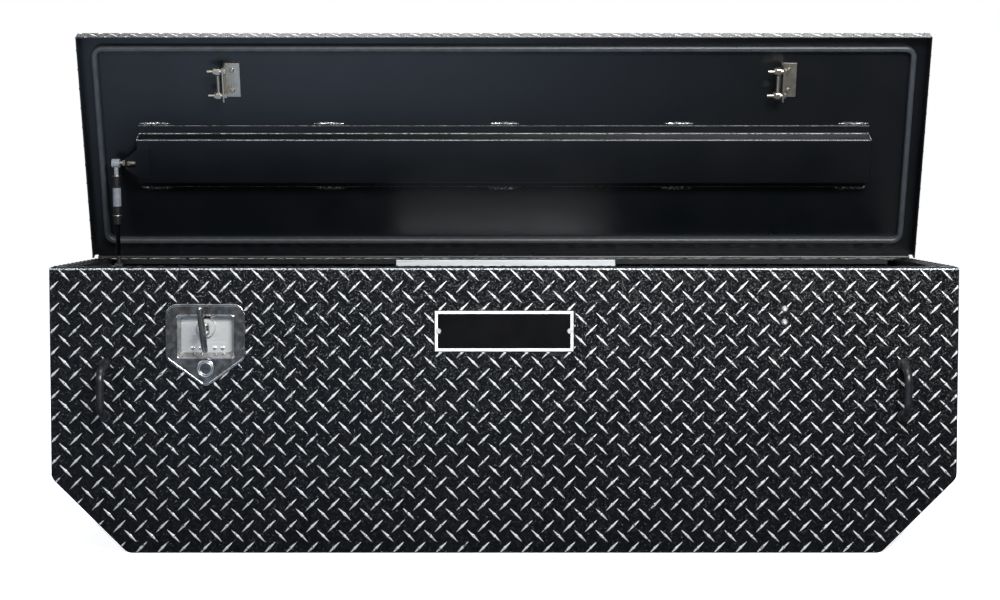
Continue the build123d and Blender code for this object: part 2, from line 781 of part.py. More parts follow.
for side, pivot_x in latch_xs.items():
    top = latch_z + latch_web_above
    foot = latch_foot_zs[side]
    with BuildPart() as bracket:
        with BuildSketch(front_plane(plate_y)):
            with Locations((pivot_x, (top + foot) / 2)):
                Rectangle(latch_bracket_width, top - foot)
            with Locations(*latch_holes[side]):
                Circle(latch_hole_radii[side], mode=Mode.SUBTRACT)
        extrude(amount=-latch_bracket_sheet)
        with BuildSketch(Plane.XY.offset(top - latch_bracket_sheet)):
            with Locations((pivot_x, (plate_y + bracket_back_y) / 2)):
                Rectangle(latch_web_width, latch_bracket_reach)
        extrude(amount=latch_bracket_sheet)
        with BuildSketch(front_plane(bracket_back_y)):
            with Locations((pivot_x, (top + ear_low) / 2)):
                Rectangle(latch_web_width, top - ear_low)
        extrude(amount=latch_bracket_sheet)
        with BuildSketch(front_plane(plate_y)):
            with Locations((pivot_x, latch_z)):
                Circle(latch_shaft_radius + running_fit)
        extrude(amount=-latch_bracket_reach, mode=Mode.SUBTRACT)
    keep(bracket, f"latch_bracket_{side}")

    # The claw hooks over the striker bar; it is drawn in its latched place and turned back.
    with BuildPart() as claw:
        with BuildSketch(turned_plane(pivot_x, claw_y - claw_thickness / 2, latch_z, claw_turn)):
            Circle(lever_boss)
            with BuildLine():
                Polyline((-claw_round, 0), (-claw_round / 2, claw_top - claw_round),
                         (claw_round, claw_top), (claw_reach, claw_top),
                         (claw_reach, latch_drop + striker_bar_radius + claw_clear),
                         (claw_mouth, latch_drop + striker_bar_radius + claw_clear),
                         (claw_mouth, latch_drop - striker_bar_radius),
                         (claw_boss, 0), close=True)
            make_face()
            Circle(latch_shaft_radius + running_fit / 2, mode=Mode.SUBTRACT)
        extrude(amount=-claw_thickness)
    keep(claw, f"claw_{side}")

    lever_angle = claw_turn / 2
    pin_spot = (pivot_x + rod_half_travel, latch_z - lever_radius * math.cos(math.radians(lever_angle)))
    with BuildPart() as claw_shaft:
        with BuildSketch(front_plane(plate_y + seat_gap)):
            with Locations((pivot_x, latch_z)):
                Circle(latch_shaft_radius)
        extrude(amount=-(claw_y + claw_thickness / 2 + latch_shaft_end - plate_y - seat_gap))
        with BuildSketch(front_plane(lever_front_y)):
            with Locations((pivot_x, latch_z)):
                Circle(lever_boss)
            with Locations(pin_spot):
                Circle(rod_pin_boss)
            make_hull()
        extrude(amount=-lever_plate)
        with BuildSketch(front_plane(lever_back_y)):
            with Locations(pin_spot):
                Circle(rod_pin_radius)
        extrude(amount=-(rod_thickness + rod_pin_tail))
    keep(claw_shaft, f"claw_shaft_{side}")

keep(polygon_nuts(front_plane(plate_y + latch_bracket_sheet + nut_thickness), latch_bolt_spots,
                  nut_thickness, latch_bolt_radius + running_fit), "latch_nuts")
with BuildPart() as latch_bolts:
    with BuildSketch(front_plane(front_y)):
        with Locations(*latch_bolt_spots):
            Circle(latch_bolt_radius)
    extrude(amount=-(sheet + latch_bracket_sheet + nut_thickness + bolt_end))
    with BuildSketch(front_plane(front_y)):
        with Locations(*latch_bolt_spots):
            Circle(dome_radius)
    extrude(amount=dome_height, taper=dome_taper)
keep(latch_bolts, "latch_bolts")

# Pull rod: a flat strip with a slotted pad for each pin that drives or follows it
crank_low_z = hub_z + crank_radius * math.cos(math.radians(hub_turn / 2))
crank_high_z = hub_z + crank_radius
lever_low_z = latch_z - lever_radius
lever_high_z = latch_z - lever_radius * math.cos(math.radians(claw_turn / 2))
crank_slot_gap = 0.9
lever_slot_gap = 1.0
rod_stops = [
    (latch_xs["left"] + rod_half_travel, lever_low_z, lever_high_z, lever_slot_gap),
    (lock_x + rod_half_travel, crank_low_z, crank_high_z, crank_slot_gap),
    (latch_xs["right"] + rod_half_travel, lever_low_z, lever_high_z, lever_slot_gap),
]
with BuildPart() as pull_rod:
    with BuildSketch(front_plane(rod_y)):
        first, last = rod_stops[0][0], rod_stops[-1][0]
        with Locations(((first + last) / 2, rod_z)):
            Rectangle(last - first, rod_height)
        for x, low, high, gap in rod_stops:
            edge = rod_pin_radius + gap + seat_gap + rod_pad_margin
            bottom = min(low - edge, rod_z - rod_height / 2)
            top = max(high + edge, rod_z + rod_height / 2)
            with Locations((x, (bottom + top) / 2)):
                RectangleRounded(rod_pad_width, top - bottom, rod_pad_margin)
        for x, low, high, gap in rod_stops:
            slot_width = 2 * (rod_pin_radius + gap)
            with Locations((x, (low + high) / 2)):
                SlotOverall(high - low + slot_width + 2 * seat_gap, slot_width, rotation=90, mode=Mode.SUBTRACT)
    extrude(amount=-rod_thickness)
keep(pull_rod, "pull_rod")

# Dish of the lock: a pressed shield with a raised bead and a sunk pocket for the handle
shield_slope = (dish_shoulder - dish_tip) / (dish_width / 2)


def shield(inset, y):
    # Parallel to the dish's edge all round: the slanted sides move in along their own normal.
    half = dish_width / 2 - inset
    tip = dish_tip + inset * math.sqrt(1 + shield_slope ** 2)
    shoulder = tip + half * shield_slope
    top = dish_top - inset
    with BuildSketch(front_plane(y)) as outline:
        with BuildLine():
            Polyline((lock_x - half, top), (lock_x - half, shoulder), (lock_x, tip),
                     (lock_x + half, shoulder), (lock_x + half, top), close=True)
        make_face()
        fillet(outline.vertices().filter_by(lambda v: v.Y < top - inset), dish_tip_radius - inset)
        fillet(outline.vertices().filter_by(lambda v: v.Y > top - seat_gap), dish_corner - inset)
    return outline.sketch


bush_radius = hub_shaft_radius + bush_wall
with BuildPart() as lock_dish:
    extrude(shield(0, dish_back_y), amount=dish_sheet)
    extrude(shield(0, dish_face_y) - shield(bead_width, dish_face_y), amount=dish_bead)
    bead_edges = lock_dish.faces().filter_by(Axis.Y).sort_by(Axis.Y)[0].edges()
    fillet(bead_edges, bead_round)
    with BuildSketch(front_plane(dish_back_y)):
        with Locations((lock_x, recess_z)):
            RectangleRounded(recess_width + 2 * dish_sheet, recess_height + 2 * dish_sheet,
                             recess_corner + dish_sheet)
    with BuildSketch(front_plane(floor_back_y)):
        with Locations((lock_x, recess_floor_z)):
            RectangleRounded(recess_floor_width + 2 * dish_sheet,
                             recess_floor_height + 2 * dish_sheet, recess_corner + dish_sheet)
    loft()
    with BuildSketch(front_plane(dish_face_y)):
        with Locations((lock_x, recess_z)):
            RectangleRounded(recess_width, recess_height, recess_corner)
    with BuildSketch(front_plane(floor_y)):
        with Locations((lock_x, recess_floor_z)):
            RectangleRounded(recess_floor_width, recess_floor_height, recess_corner)
    loft(mode=Mode.SUBTRACT)
    with BuildSketch(front_plane(floor_y)):
        with Locations((lock_x, hub_z)):
            Circle(bush_radius + running_fit)
    extrude(amount=-dish_sheet, mode=Mode.SUBTRACT)
    with BuildSketch(front_plane(dish_face_y)):
        with Locations((lock_x, cylinder_z)):
            Circle(cylinder_barrel_radius + running_fit)
    extrude(amount=-dish_sheet, mode=Mode.SUBTRACT)
keep(lock_dish, "lock_dish")

with BuildPart() as dish_gasket:
    extrude(shield(gasket_inset, front_y), amount=gasket_thickness)
    with BuildSketch(front_plane(front_y)):
        with Locations((lock_x, recess_z)):
            RectangleRounded(recess_width + pocket_outside, recess_height + pocket_outside,
                             recess_corner + dish_sheet)
        with Locations((lock_x, cylinder_z)):
            Circle(cylinder_barrel_radius + hole_gap)
        with Locations(*dish_stud_spots):
            Circle(dish_stud_radius + hole_gap)
    extrude(amount=gasket_thickness, mode=Mode.SUBTRACT)
keep(dish_gasket, "dish_gasket")

with BuildPart() as dish_studs:
    with BuildSketch(front_plane(dish_back_y)):
        with Locations(*dish_stud_spots):
            Circle(dish_stud_radius)
    extrude(amount=-(gasket_thickness + sheet + latch_bracket_sheet + dish_nut_thickness + dish_stud_end))
keep(dish_studs, "dish_studs")
with BuildPart() as dish_nuts:
    bracket_face_y = plate_y + latch_bracket_sheet
    for spots, seat in ((dish_stud_spots[:2], bracket_face_y), (dish_stud_spots[2:], plate_y)):
        with BuildSketch(front_plane(seat)):
            with Locations(*spots):
                RegularPolygon(dish_nut_flat, 6, major_radius=False)
                Circle(dish_stud_radius + running_fit, mode=Mode.SUBTRACT)
        extrude(amount=-dish_nut_thickness)
keep(dish_nuts, "dish_nuts")

# Hub of the T-handle, its bush, crank and nut
disc_back_y = floor_y - seat_gap
disc_front_y = disc_back_y - hub_thickness
pivot_y = disc_front_y - fold_eye_radius - seat_gap
square_start_y = lever_front_y - seat_gap
ear_gap = fold_eye_width + 2 * seat_gap

with BuildPart() as hub_bush:
    with BuildSketch(front_plane(floor_y)):
        with Locations((lock_x, hub_z)):
            Circle(bush_radius)
            Circle(hub_shaft_radius + running_fit, mode=Mode.SUBTRACT)
    extrude(amount=-dish_sheet)
    with BuildSketch(front_plane(floor_back_y)):
        with Locations((lock_x, hub_z)):
            Circle(bush_radius + bush_flange_width)
            Circle(hub_shaft_radius + running_fit, mode=Mode.SUBTRACT)
    extrude(amount=-bush_flange)
keep(hub_bush, "hub_bush")

hub_front = turned_plane(lock_x, disc_front_y, hub_z, handle_lean)
grip_dir = hub_front.y_dir
fold_plane = Plane(origin=(lock_x, pivot_y, hub_z), x_dir=hub_front.x_dir, z_dir=grip_dir)

with BuildPart() as lock_hub:
    with BuildSketch(hub_front):
        Circle(hub_radius)
    extrude(amount=-hub_thickness)
    disc_rim = lock_hub.faces().filter_by(Axis.Y).sort_by(Axis.Y)[0].edges()
    chamfer(disc_rim, hub_rim_chamfer)
    for end in (-1, 1):
        with BuildSketch(fold_plane.offset(end * ear_gap / 2)):
            Circle(ear_radius)
            with Locations((0, (fold_eye_radius + ear_foot) / 2)):
                Rectangle(2 * ear_radius, fold_eye_radius + ear_foot)
            Circle(fold_pin_radius + running_fit, mode=Mode.SUBTRACT)
        extrude(amount=end * ear_thickness)
    with BuildSketch(front_plane(disc_back_y)):
        with Locations((lock_x, hub_z)):
            Circle(hub_shaft_radius)
    extrude(amount=-(square_start_y - disc_back_y))
    with BuildSketch(turned_plane(lock_x, square_start_y, hub_z, handle_lean)):
        Rectangle(shaft_square, shaft_square)
    extrude(amount=-lever_plate)
    with BuildSketch(front_plane(square_start_y + lever_plate)):
        with Locations((lock_x, hub_z)):
            Circle(hub_thread_radius)
    extrude(amount=-hub_thread_length)
keep(lock_hub, "lock_hub")

crank_angle = math.radians(hub_turn / 2)
crank_pin = (lock_x + crank_radius * math.sin(crank_angle), crank_low_z)
tail_tip = (lock_x - crank_tail * math.sin(crank_angle), hub_z - crank_tail * math.cos(crank_angle))
with BuildPart() as crank_arm:
    for spot, radius in ((crank_pin, rod_pin_boss), (tail_tip, crank_tail_radius)):
        with BuildSketch(front_plane(lever_front_y)):
            with Locations((lock_x, hub_z)):
                Circle(crank_boss)
            with Locations(spot):
                Circle(radius)
            make_hull()
        extrude(amount=-lever_plate)
    with BuildSketch(front_plane(lever_back_y)):
        with Locations(crank_pin):
            Circle(rod_pin_radius)
    extrude(amount=-(rod_thickness + rod_pin_tail))
    with BuildSketch(turned_plane(lock_x, lever_front_y, hub_z, handle_lean)):
        Rectangle(shaft_square + running_fit, shaft_square + running_fit)
    extrude(amount=-lever_plate, mode=Mode.SUBTRACT)
keep(crank_arm, "crank_arm")
keep(polygon_nuts(front_plane(lever_back_y + nut_thickness), [(lock_x, hub_z)], nut_thickness,
                  hub_thread_radius + running_fit, crank_nut_flat), "crank_nut")

# T-handle that folds about a pin through the hub's ears
grip_y = pivot_y - stem_length
grip_up = Axis((lock_x, grip_y, hub_z), grip_dir)
with BuildPart() as t_handle:
    with BuildSketch(fold_plane):
        Circle(fold_eye_radius)
    extrude(amount=fold_eye_width / 2, both=True)
    with BuildSketch(turned_plane(lock_x, pivot_y, hub_z, handle_lean)):
        Circle(stem_radius)
    extrude(amount=stem_length)
    grip_face = turned_plane(lock_x, grip_y, hub_z, handle_lean)
    with BuildSketch(grip_face):
        with BuildLine():
            Polyline((grip_end_radius, -grip_length / 2), (0, -grip_length / 2), (0, grip_length / 2),
                     (grip_end_radius, grip_length / 2))
            ThreePointArc((grip_end_radius, grip_length / 2), (grip_middle_radius, 0),
                          (grip_end_radius, -grip_length / 2))
        make_face()
    revolve(axis=grip_up)
    ends = t_handle.faces().filter_by(grip_up).sort_by(grip_up)
    fillet(ends[0].edges() + ends[-1].edges(), grip_round)
    with BuildSketch(fold_plane):
        Circle(fold_pin_radius + running_fit)
    extrude(amount=fold_eye_width / 2, both=True, mode=Mode.SUBTRACT)
keep(t_handle, "t_handle")

with BuildPart() as fold_pin:
    with BuildSketch(fold_plane):
        Circle(fold_pin_radius)
    extrude(amount=ear_gap / 2 + ear_thickness + fold_pin_end, both=True)
keep(fold_pin, "fold_pin")

# Key cylinder below the pocket
case_back_y = front_y + cylinder_depth
plug_front_y = dish_face_y - plug_proud
case_front_y = dish_face_y - cylinder_ring_height
with BuildPart() as lock_case:
    with BuildSketch(front_plane(dish_face_y)):
        with Locations((lock_x, cylinder_z)):
            Circle(cylinder_ring_radius)
    extrude(amount=cylinder_ring_height, taper=ring_taper)
    with BuildSketch(front_plane(dish_face_y)):
        with Locations((lock_x, cylinder_z)):
            Circle(cylinder_barrel_radius)
    extrude(amount=-(case_back_y - dish_face_y))
    with BuildSketch(front_plane(case_front_y)):
        with Locations((lock_x, cylinder_z)):
            Circle(plug_radius + running_fit)
    extrude(amount=-(case_back_y - case_front_y), mode=Mode.SUBTRACT)
keep(lock_case, "lock_case")
keep(polygon_nuts(front_plane(plate_y + nut_thickness), [(lock_x, cylinder_z)], nut_thickness,
                  cylinder_barrel_radius + running_fit, cylinder_nut_flat), "lock_case_nut")

cam_y = lever_front_y - cam_lever_gap
with BuildPart() as lock_plug:
    with BuildSketch(front_plane(plug_front_y)):
        with Locations((lock_x, cylinder_z)):
            Circle(plug_radius)
    extrude(amount=-(cam_y - plug_front_y))
    with BuildSketch(front_plane(plug_front_y)):
        with Locations((lock_x, cylinder_z)):
            SlotOverall(key_slot_width, key_slot_height)
    extrude(amount=-key_slot_depth, mode=Mode.SUBTRACT)
    with BuildSketch(front_plane(cam_y)):
        with Locations((lock_x, cylinder_z)):
            Circle(plug_tail_radius)
    extrude(amount=-plug_tail_length)
keep(lock_plug, "lock_plug")

with BuildPart() as lock_cam:
    with BuildSketch(front_plane(cam_y)):
        with Locations((lock_x, cylinder_z)):
            Circle(plug_radius)
        with Locations((lock_x + cam_length - cam_width / 2, cylinder_z)):
            Circle(cam_width / 2)
        make_hull()
        with Locations((lock_x, cylinder_z)):
            Circle(plug_tail_radius + running_fit / 2, mode=Mode.SUBTRACT)
    extrude(amount=-cam_thickness)
keep(lock_cam, "lock_cam")

# Bare nameplate field with its two screws
with BuildPart() as nameplate:
    with BuildSketch(front_plane(front_y)):
        with Locations((0, plate_z)):
            RectangleRounded(plate_width, plate_height, plate_corner)
        with Locations(*plate_screw_spots):
            Circle(plate_screw_radius + hole_gap, mode=Mode.SUBTRACT)
    extrude(amount=plate_thickness)
keep(nameplate, "nameplate")
with BuildPart() as nameplate_screws:
    with BuildSketch(front_plane(front_y - plate_thickness)):
        with Locations(*plate_screw_spots):
            Circle(plate_screw_radius)
    extrude(amount=-(plate_thickness + sheet - hole_gap))
    with BuildSketch(front_plane(front_y - plate_thickness)):
        with Locations(*plate_screw_spots):
            Circle(plate_screw_head)
    extrude(amount=plate_screw_head_height, taper=screw_head_taper)
keep(nameplate_screws, "nameplate_screws")

# Grab handles: round bar bowed between two feet
grab_path = [
    (front_y, grab_z - grab_pitch / 2),
    (front_y - grab_standoff, grab_z - grab_pitch / 2 + grab_lean),
    (front_y - grab_standoff, grab_z + grab_pitch / 2 - grab_lean),
    (front_y, grab_z + grab_pitch / 2),
]
for side, x in (("left", -grab_x), ("right", grab_x)):
    with BuildPart() as grab:
        with BuildLine(Plane(origin=(x, 0, 0), x_dir=(0, 1, 0), z_dir=(1, 0, 0))) as bow:
            FilletPolyline(*grab_path, radius=grab_bend)
        with BuildSketch(Plane(origin=bow.line @ 0, z_dir=bow.line % 0)):
            Circle(grab_bar_radius)
        sweep()
        with BuildSketch(front_plane(front_y)):
            with Locations(*[(x, z) for fx, z in grab_bolt_spots if fx == x]):
                Circle(grab_foot_radius)
        extrude(amount=grab_foot_thickness)
        with BuildSketch(front_plane(front_y)):
            with Locations((x, grab_z)):
                Rectangle(4 * grab_foot_radius, 2 * grab_pitch)
        extrude(amount=-2 * grab_foot_radius, mode=Mode.SUBTRACT)
        with BuildSketch(front_plane(front_y)):
            with Locations(*[(x, z) for fx, z in grab_bolt_spots if fx == x]):
                Circle(grab_bolt_radius)
        extrude(amount=-(sheet + nut_thickness + bolt_end))
    keep(grab, f"grab_handle_{side}")
keep(polygon_nuts(front_plane(plate_y + nut_thickness), grab_bolt_spots, nut_thickness,
                  grab_bolt_radius + running_fit), "grab_handle_nuts")

# Rails and the tray that slides along them
tray_depth = box_depth - 2 * (rim_width + tray_rim_gap)
tray_top = rim_top - tray_below_rim
tray_floor = tray_top - tray_height
glide_bottom = tray_floor - glide_thickness
rail_top = glide_bottom - slide_gap
rail_leg = rim_width + rail_past_rim
rail_length = 2 * (latch_xs["right"] - latch_bracket_width / 2 - rail_latch_gap)
rail_y = wall_y - rail_leg / 2
for side, sign in (("front", -1), ("rear", 1)):
    with BuildPart() as rail:
        with BuildSketch(Plane.XY.offset(rail_top)):
            with Locations((0, sign * rail_y)):
                Rectangle(rail_length, rail_leg)
        extrude(amount=-sheet)
        with BuildSketch(Plane.XY.offset(rail_top)):
            with Locations((0, sign * (wall_y - sheet / 2))):
                Rectangle(rail_length, sheet)
        extrude(amount=-rail_web)
    keep(rail, f"tray_rail_{side}")

with BuildPart() as tray:
    with BuildSketch(Plane.XY.offset(tray_floor)):
        with Locations((tray_x, 0)):
            Rectangle(tray_width, tray_depth)
    extrude(amount=tray_height)
    with BuildSketch(Plane.XY.offset(tray_floor + tray_sheet)):
        with Locations((tray_x, 0)):
            Rectangle(tray_width - 2 * tray_sheet, tray_depth - 2 * tray_sheet)
    extrude(amount=tray_height, mode=Mode.SUBTRACT)
    with BuildSketch(Plane.XY.offset(rim_top - tray_end_below_rim)):
        with Locations((tray_x, 0)):
            Rectangle(tray_width + 2 * tray_sheet, tray_depth - 2 * tray_sheet)
    extrude(amount=tray_end_below_rim, mode=Mode.SUBTRACT)
    with BuildSketch(Plane.XY.offset(tray_top)):
        with Locations(*[(tray_x, sign * (tray_depth / 2 + tray_sheet / 2)) for sign in (-1, 1)]):
            Rectangle(tray_width, tray_sheet)
    extrude(amount=-tray_hem)
keep(tray, "tray")

glide_y = wall_y - rail_leg + glide_width / 2 + glide_from_rail_edge
glide_pitch = tray_width - glide_length - 2 * glide_from_tray_end
with BuildPart() as tray_glides:
    with BuildSketch(Plane.XY.offset(tray_floor)):
        with Locations((tray_x, 0)):
            with GridLocations(glide_pitch, 2 * glide_y, 2, 2):
                Rectangle(glide_length, glide_width)
    extrude(amount=-glide_thickness)
keep(tray_glides, "tray_glides")

# Gas strut between the lid and the left wall
lid_end = lid_plane.from_local_coords((strut_x, -strut_lid_reach, -strut_lid_drop))
box_end = Vector(strut_x, pin_y - strut_box_back, pin_z - strut_box_drop)
shut_end = Vector(strut_x, pin_y - strut_lid_reach, pin_z - strut_lid_drop)
strut_open = (box_end - lid_end).length
strut_shut = (box_end - shut_end).length
strut_stroke = strut_open - strut_shut
strut_dir = (box_end - lid_end).normalized()


def strut_plane(distance):
    return Plane(origin=lid_end + strut_dir * distance, x_dir=(1, 0, 0), z_dir=strut_dir)


tube_end = strut_tube_start + strut_tube_length
rod_inner_end = strut_tube_start + strut_stroke + strut_piston_gap
lower_collar = tube_end + strut_stroke + strut_collar_gap
with BuildPart() as strut_cylinder:
    with BuildSketch(strut_plane(strut_tube_start)):
        Circle(strut_tube_radius)
    extrude(amount=strut_tube_length)
    for start in (strut_tube_start, tube_end - strut_band_from_end):
        with BuildSketch(strut_plane(start)):
            Circle(strut_collar_radius)
        extrude(amount=strut_band_length)
    with BuildSketch(strut_plane(strut_tube_start + strut_tube_end)):
        Circle(strut_bore_radius)
    extrude(amount=strut_tube_length - 2 * strut_tube_end, mode=Mode.SUBTRACT)
    with BuildSketch(strut_plane(tube_end - strut_tube_end)):
        Circle(strut_rod_radius + running_fit)
    extrude(amount=strut_tube_end, mode=Mode.SUBTRACT)
keep(strut_cylinder, "strut_cylinder")

with BuildPart() as strut_top_socket:
    with BuildSketch(slice_at(lid_end.X, lid_end.Y, lid_end.Z)):
        Circle(socket_radius)
    extrude(amount=socket_width / 2, both=True)
    with BuildSketch(strut_plane(0)):
        Circle(strut_neck_radius)
    extrude(amount=strut_tube_start)
keep(strut_top_socket, "strut_top_socket")

with BuildPart() as strut_rod:
    with BuildSketch(strut_plane(rod_inner_end)):
        Circle(strut_piston_radius)
    extrude(amount=strut_piston_length)
    with BuildSketch(strut_plane(rod_inner_end)):
        Circle(strut_rod_radius)
    extrude(amount=lower_collar - rod_inner_end)
keep(strut_rod, "strut_rod")

with BuildPart() as strut_bottom_socket:
    with BuildSketch(strut_plane(lower_collar)):
        Circle(lower_collar_radius)
    extrude(amount=strut_collar_length)
    with BuildSketch(strut_plane(lower_collar)):
        Circle(strut_neck_radius)
    extrude(amount=strut_open - lower_collar)
    with BuildSketch(slice_at(box_end.X, box_end.Y, box_end.Z)):
        Circle(socket_radius)
    extrude(amount=socket_width / 2, both=True)
    with BuildSketch(slice_at(box_end.X - socket_width / 2, box_end.Y, box_end.Z)):
        Circle(ball_radius + running_fit)
    extrude(amount=socket_width - ball_socket_wall, mode=Mode.SUBTRACT)
keep(strut_bottom_socket, "strut_bottom_socket")

# Anchor on the left wall: a plate with a shelf and an ear that carries the lower ball stud
wall_x = -(half_width - sheet)
ear_x = -(half_width - rim_width + sheet) - anchor_lip_gap - anchor_sheet
anchor_top = rim_under - anchor_below_rim
shelf_top = box_end.Z - anchor_shelf_drop
shelf_length = ear_x - wall_x + anchor_sheet
with BuildPart() as strut_anchor:
    with BuildSketch(slice_at(wall_x, box_end.Y, anchor_top - anchor_height / 2)):
        Rectangle(anchor_width, anchor_height)
    extrude(amount=anchor_sheet)
    with BuildSketch(Plane.XY.offset(shelf_top)):
        with Locations((wall_x + shelf_length / 2, box_end.Y)):
            Rectangle(shelf_length, anchor_shelf_width)
    extrude(amount=-anchor_sheet)
    with BuildSketch(slice_at(ear_x, box_end.Y, 0)):
        with Locations((0, (anchor_top + shelf_top) / 2)):
            Rectangle(anchor_shelf_width, anchor_top - shelf_top)
        with Locations((0, box_end.Z)):
            Circle(ball_stud_radius + running_fit, mode=Mode.SUBTRACT)
    extrude(amount=anchor_sheet)
keep(strut_anchor, "strut_anchor")

stud_back_x = ear_x - anchor_nut_thickness - anchor_stud_end
with BuildPart() as strut_anchor_stud:
    with BuildSketch(slice_at(stud_back_x, box_end.Y, box_end.Z)):
        Circle(ball_stud_radius)
    extrude(amount=strut_x - stud_back_x)
    with BuildSketch(slice_at(ear_x - anchor_nut_thickness, box_end.Y, box_end.Z)):
        RegularPolygon(anchor_nut_flat, 6, major_radius=False)
    extrude(amount=anchor_nut_thickness)
    with Locations(box_end):
        Sphere(ball_radius)
keep(strut_anchor_stud, "strut_anchor_stud")

# Bracket and stud that carry the strut's top end at the left end of the stiffener
hat_end = -hat_length / 2
bracket_ear_x = hat_end - bracket_reach
bracket_level = crown_level - anchor_sheet
with BuildPart() as strut_bracket:
    narrow = bracket_ear_width / 2
    sides = [(bracket_ear_x, -narrow), (bracket_ear_x, narrow),
             (hat_end + bracket_taper, bracket_wide_rear), (hat_end + bracket_lap, bracket_wide_rear),
             (hat_end + bracket_lap, -bracket_wide_front), (hat_end + bracket_taper, -bracket_wide_front)]
    with BuildSketch(lid_level(bracket_level)):
        with BuildLine():
            Polyline(*[(x, y - strut_lid_reach) for x, y in sides], close=True)
        make_face()
        # Window over the stud's nuts
        window_start = bracket_ear_x + bracket_window_end
        window_length = hat_end - bracket_window_end - window_start
        with Locations((window_start + window_length / 2, -strut_lid_reach)):
            Rectangle(window_length, 2 * (bracket_nut + bracket_window_margin), mode=Mode.SUBTRACT)
    extrude(amount=anchor_sheet)
    with BuildSketch(lid_slice(bracket_ear_x)):
        with Locations((-strut_lid_reach, bracket_level + bracket_ear_height / 2)):
            Rectangle(bracket_ear_width, bracket_ear_height)
        with Locations((-strut_lid_reach, -strut_lid_drop)):
            Circle(strut_neck_radius + running_fit, mode=Mode.SUBTRACT)
    extrude(amount=anchor_sheet)
keep(strut_bracket, "strut_bracket")

stud_start = strut_x + socket_width / 2 + seat_gap
with BuildPart() as strut_stud:
    with BuildSketch(lid_slice(stud_start)):
        with Locations((-strut_lid_reach, -strut_lid_drop)):
            Circle(strut_neck_radius)
    extrude(amount=hat_end - stud_hat_gap - stud_start)
    for x in (bracket_ear_x - bracket_nut, bracket_ear_x + anchor_sheet):
        with BuildSketch(lid_slice(x)):
            with Locations((-strut_lid_reach, -strut_lid_drop)):
                RegularPolygon(bracket_nut, 6, major_radius=False)
        extrude(amount=bracket_nut)
keep(strut_stud, "strut_stud")

# Joint values that the record repeats
strut_angle_open = math.degrees(math.atan2(box_end.Y - lid_end.Y, lid_end.Z - box_end.Z))
strut_angle_shut = math.degrees(math.atan2(box_end.Y - shut_end.Y, shut_end.Z - box_end.Z))
print("hinge pin", round(pin_y, 3), round(pin_z, 3))
print("strut top", lid_end, "bottom", box_end, "direction", strut_dir)
print("strut stroke", round(strut_stroke, 3), "turn", round(strut_angle_shut - strut_angle_open, 3))
print("claw turn", round(claw_turn, 3), "rod travel", round(2 * rod_half_travel, 3))
print("latch height", round(latch_z, 3))
print("fold pivot", round(pivot_y, 3), "grip direction", grip_dir, "rail top", round(rail_top, 3))
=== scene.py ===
import math
import random

import bmesh
import bpy
from mathutils import Matrix, Vector


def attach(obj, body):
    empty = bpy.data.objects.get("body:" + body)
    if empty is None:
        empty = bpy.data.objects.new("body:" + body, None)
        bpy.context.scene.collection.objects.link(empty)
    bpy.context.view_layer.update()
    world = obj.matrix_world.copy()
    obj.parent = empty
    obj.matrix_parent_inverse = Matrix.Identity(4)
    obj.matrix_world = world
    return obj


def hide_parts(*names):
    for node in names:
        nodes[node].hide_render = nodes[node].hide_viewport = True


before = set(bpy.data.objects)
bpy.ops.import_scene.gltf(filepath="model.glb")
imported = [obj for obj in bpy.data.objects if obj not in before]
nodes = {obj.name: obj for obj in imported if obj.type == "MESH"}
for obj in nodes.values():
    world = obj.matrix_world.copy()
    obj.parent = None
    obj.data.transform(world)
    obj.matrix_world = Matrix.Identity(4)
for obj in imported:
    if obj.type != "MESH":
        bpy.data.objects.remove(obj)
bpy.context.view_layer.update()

mm = 0.001
random.seed(7)

# Sizes of the box that the looks line up with, in millimetres
box = {
    "halfWidth": 762.0,
    "halfDepth": 209.5,
    "height": 482.6,
    "cornerCut": 127.0,
    "rimWidth": 40.0,
}
# The lid, in its own frame: y and z from the hinge pin, and how far it stands open
lid = {
    "pin": Vector((0, 213.5, 484.6)),
    "open": math.radians(70.35),
    "half": 766.5,
    "front": -428.5,
    "rear": -4.0,
    "top": 15.0,
    "inside": 12.5,
    "tip": -15.0,
}
lidY = Vector((0, math.cos(lid["open"]), -math.sin(lid["open"])))
lidZ = Vector((0, math.sin(lid["open"]), math.cos(lid["open"])))


def lidPoint(x, y, z):  # a point in the lid's frame, in millimetres of the whole part
    return lid["pin"] + Vector((x, 0, 0)) + lidY * y + lidZ * z


def colour(code):  # sRGB hex to linear
    parts = [int(code[k:k + 2], 16) / 255 for k in (1, 3, 5)]
    return tuple(c / 12.92 if c <= 0.04045 else ((c + 0.055) / 1.055) ** 2.4 for c in parts) + (1.0,)


def addNode(tree, kind, settings=None, links=None):
    node = tree.nodes.new(kind)
    for key, value in (settings or {}).items():
        if isinstance(key, str) and hasattr(node, key):
            setattr(node, key, value)
        else:
            node.inputs[key].default_value = value
    for key, socket in (links or {}).items():
        tree.links.new(socket, node.inputs[key])
    return node


def newMaterial(name, settings):
    material = bpy.data.materials.new(name)
    material.use_nodes = True
    tree = material.node_tree
    shader = tree.nodes["Principled BSDF"]
    for key, value in settings.items():
        shader.inputs[key].default_value = value
    material.diffuse_color = shader.inputs["Base Color"].default_value
    where = addNode(tree, "ShaderNodeTexCoord").outputs["Object"]
    return material, tree, shader, where


# Sockets of the Mix node by number, because their names repeat for each kind of data
mixFrom, mixTo, mixOut = 6, 7, 2
levelFrom, levelTo, levelOut = 2, 3, 0


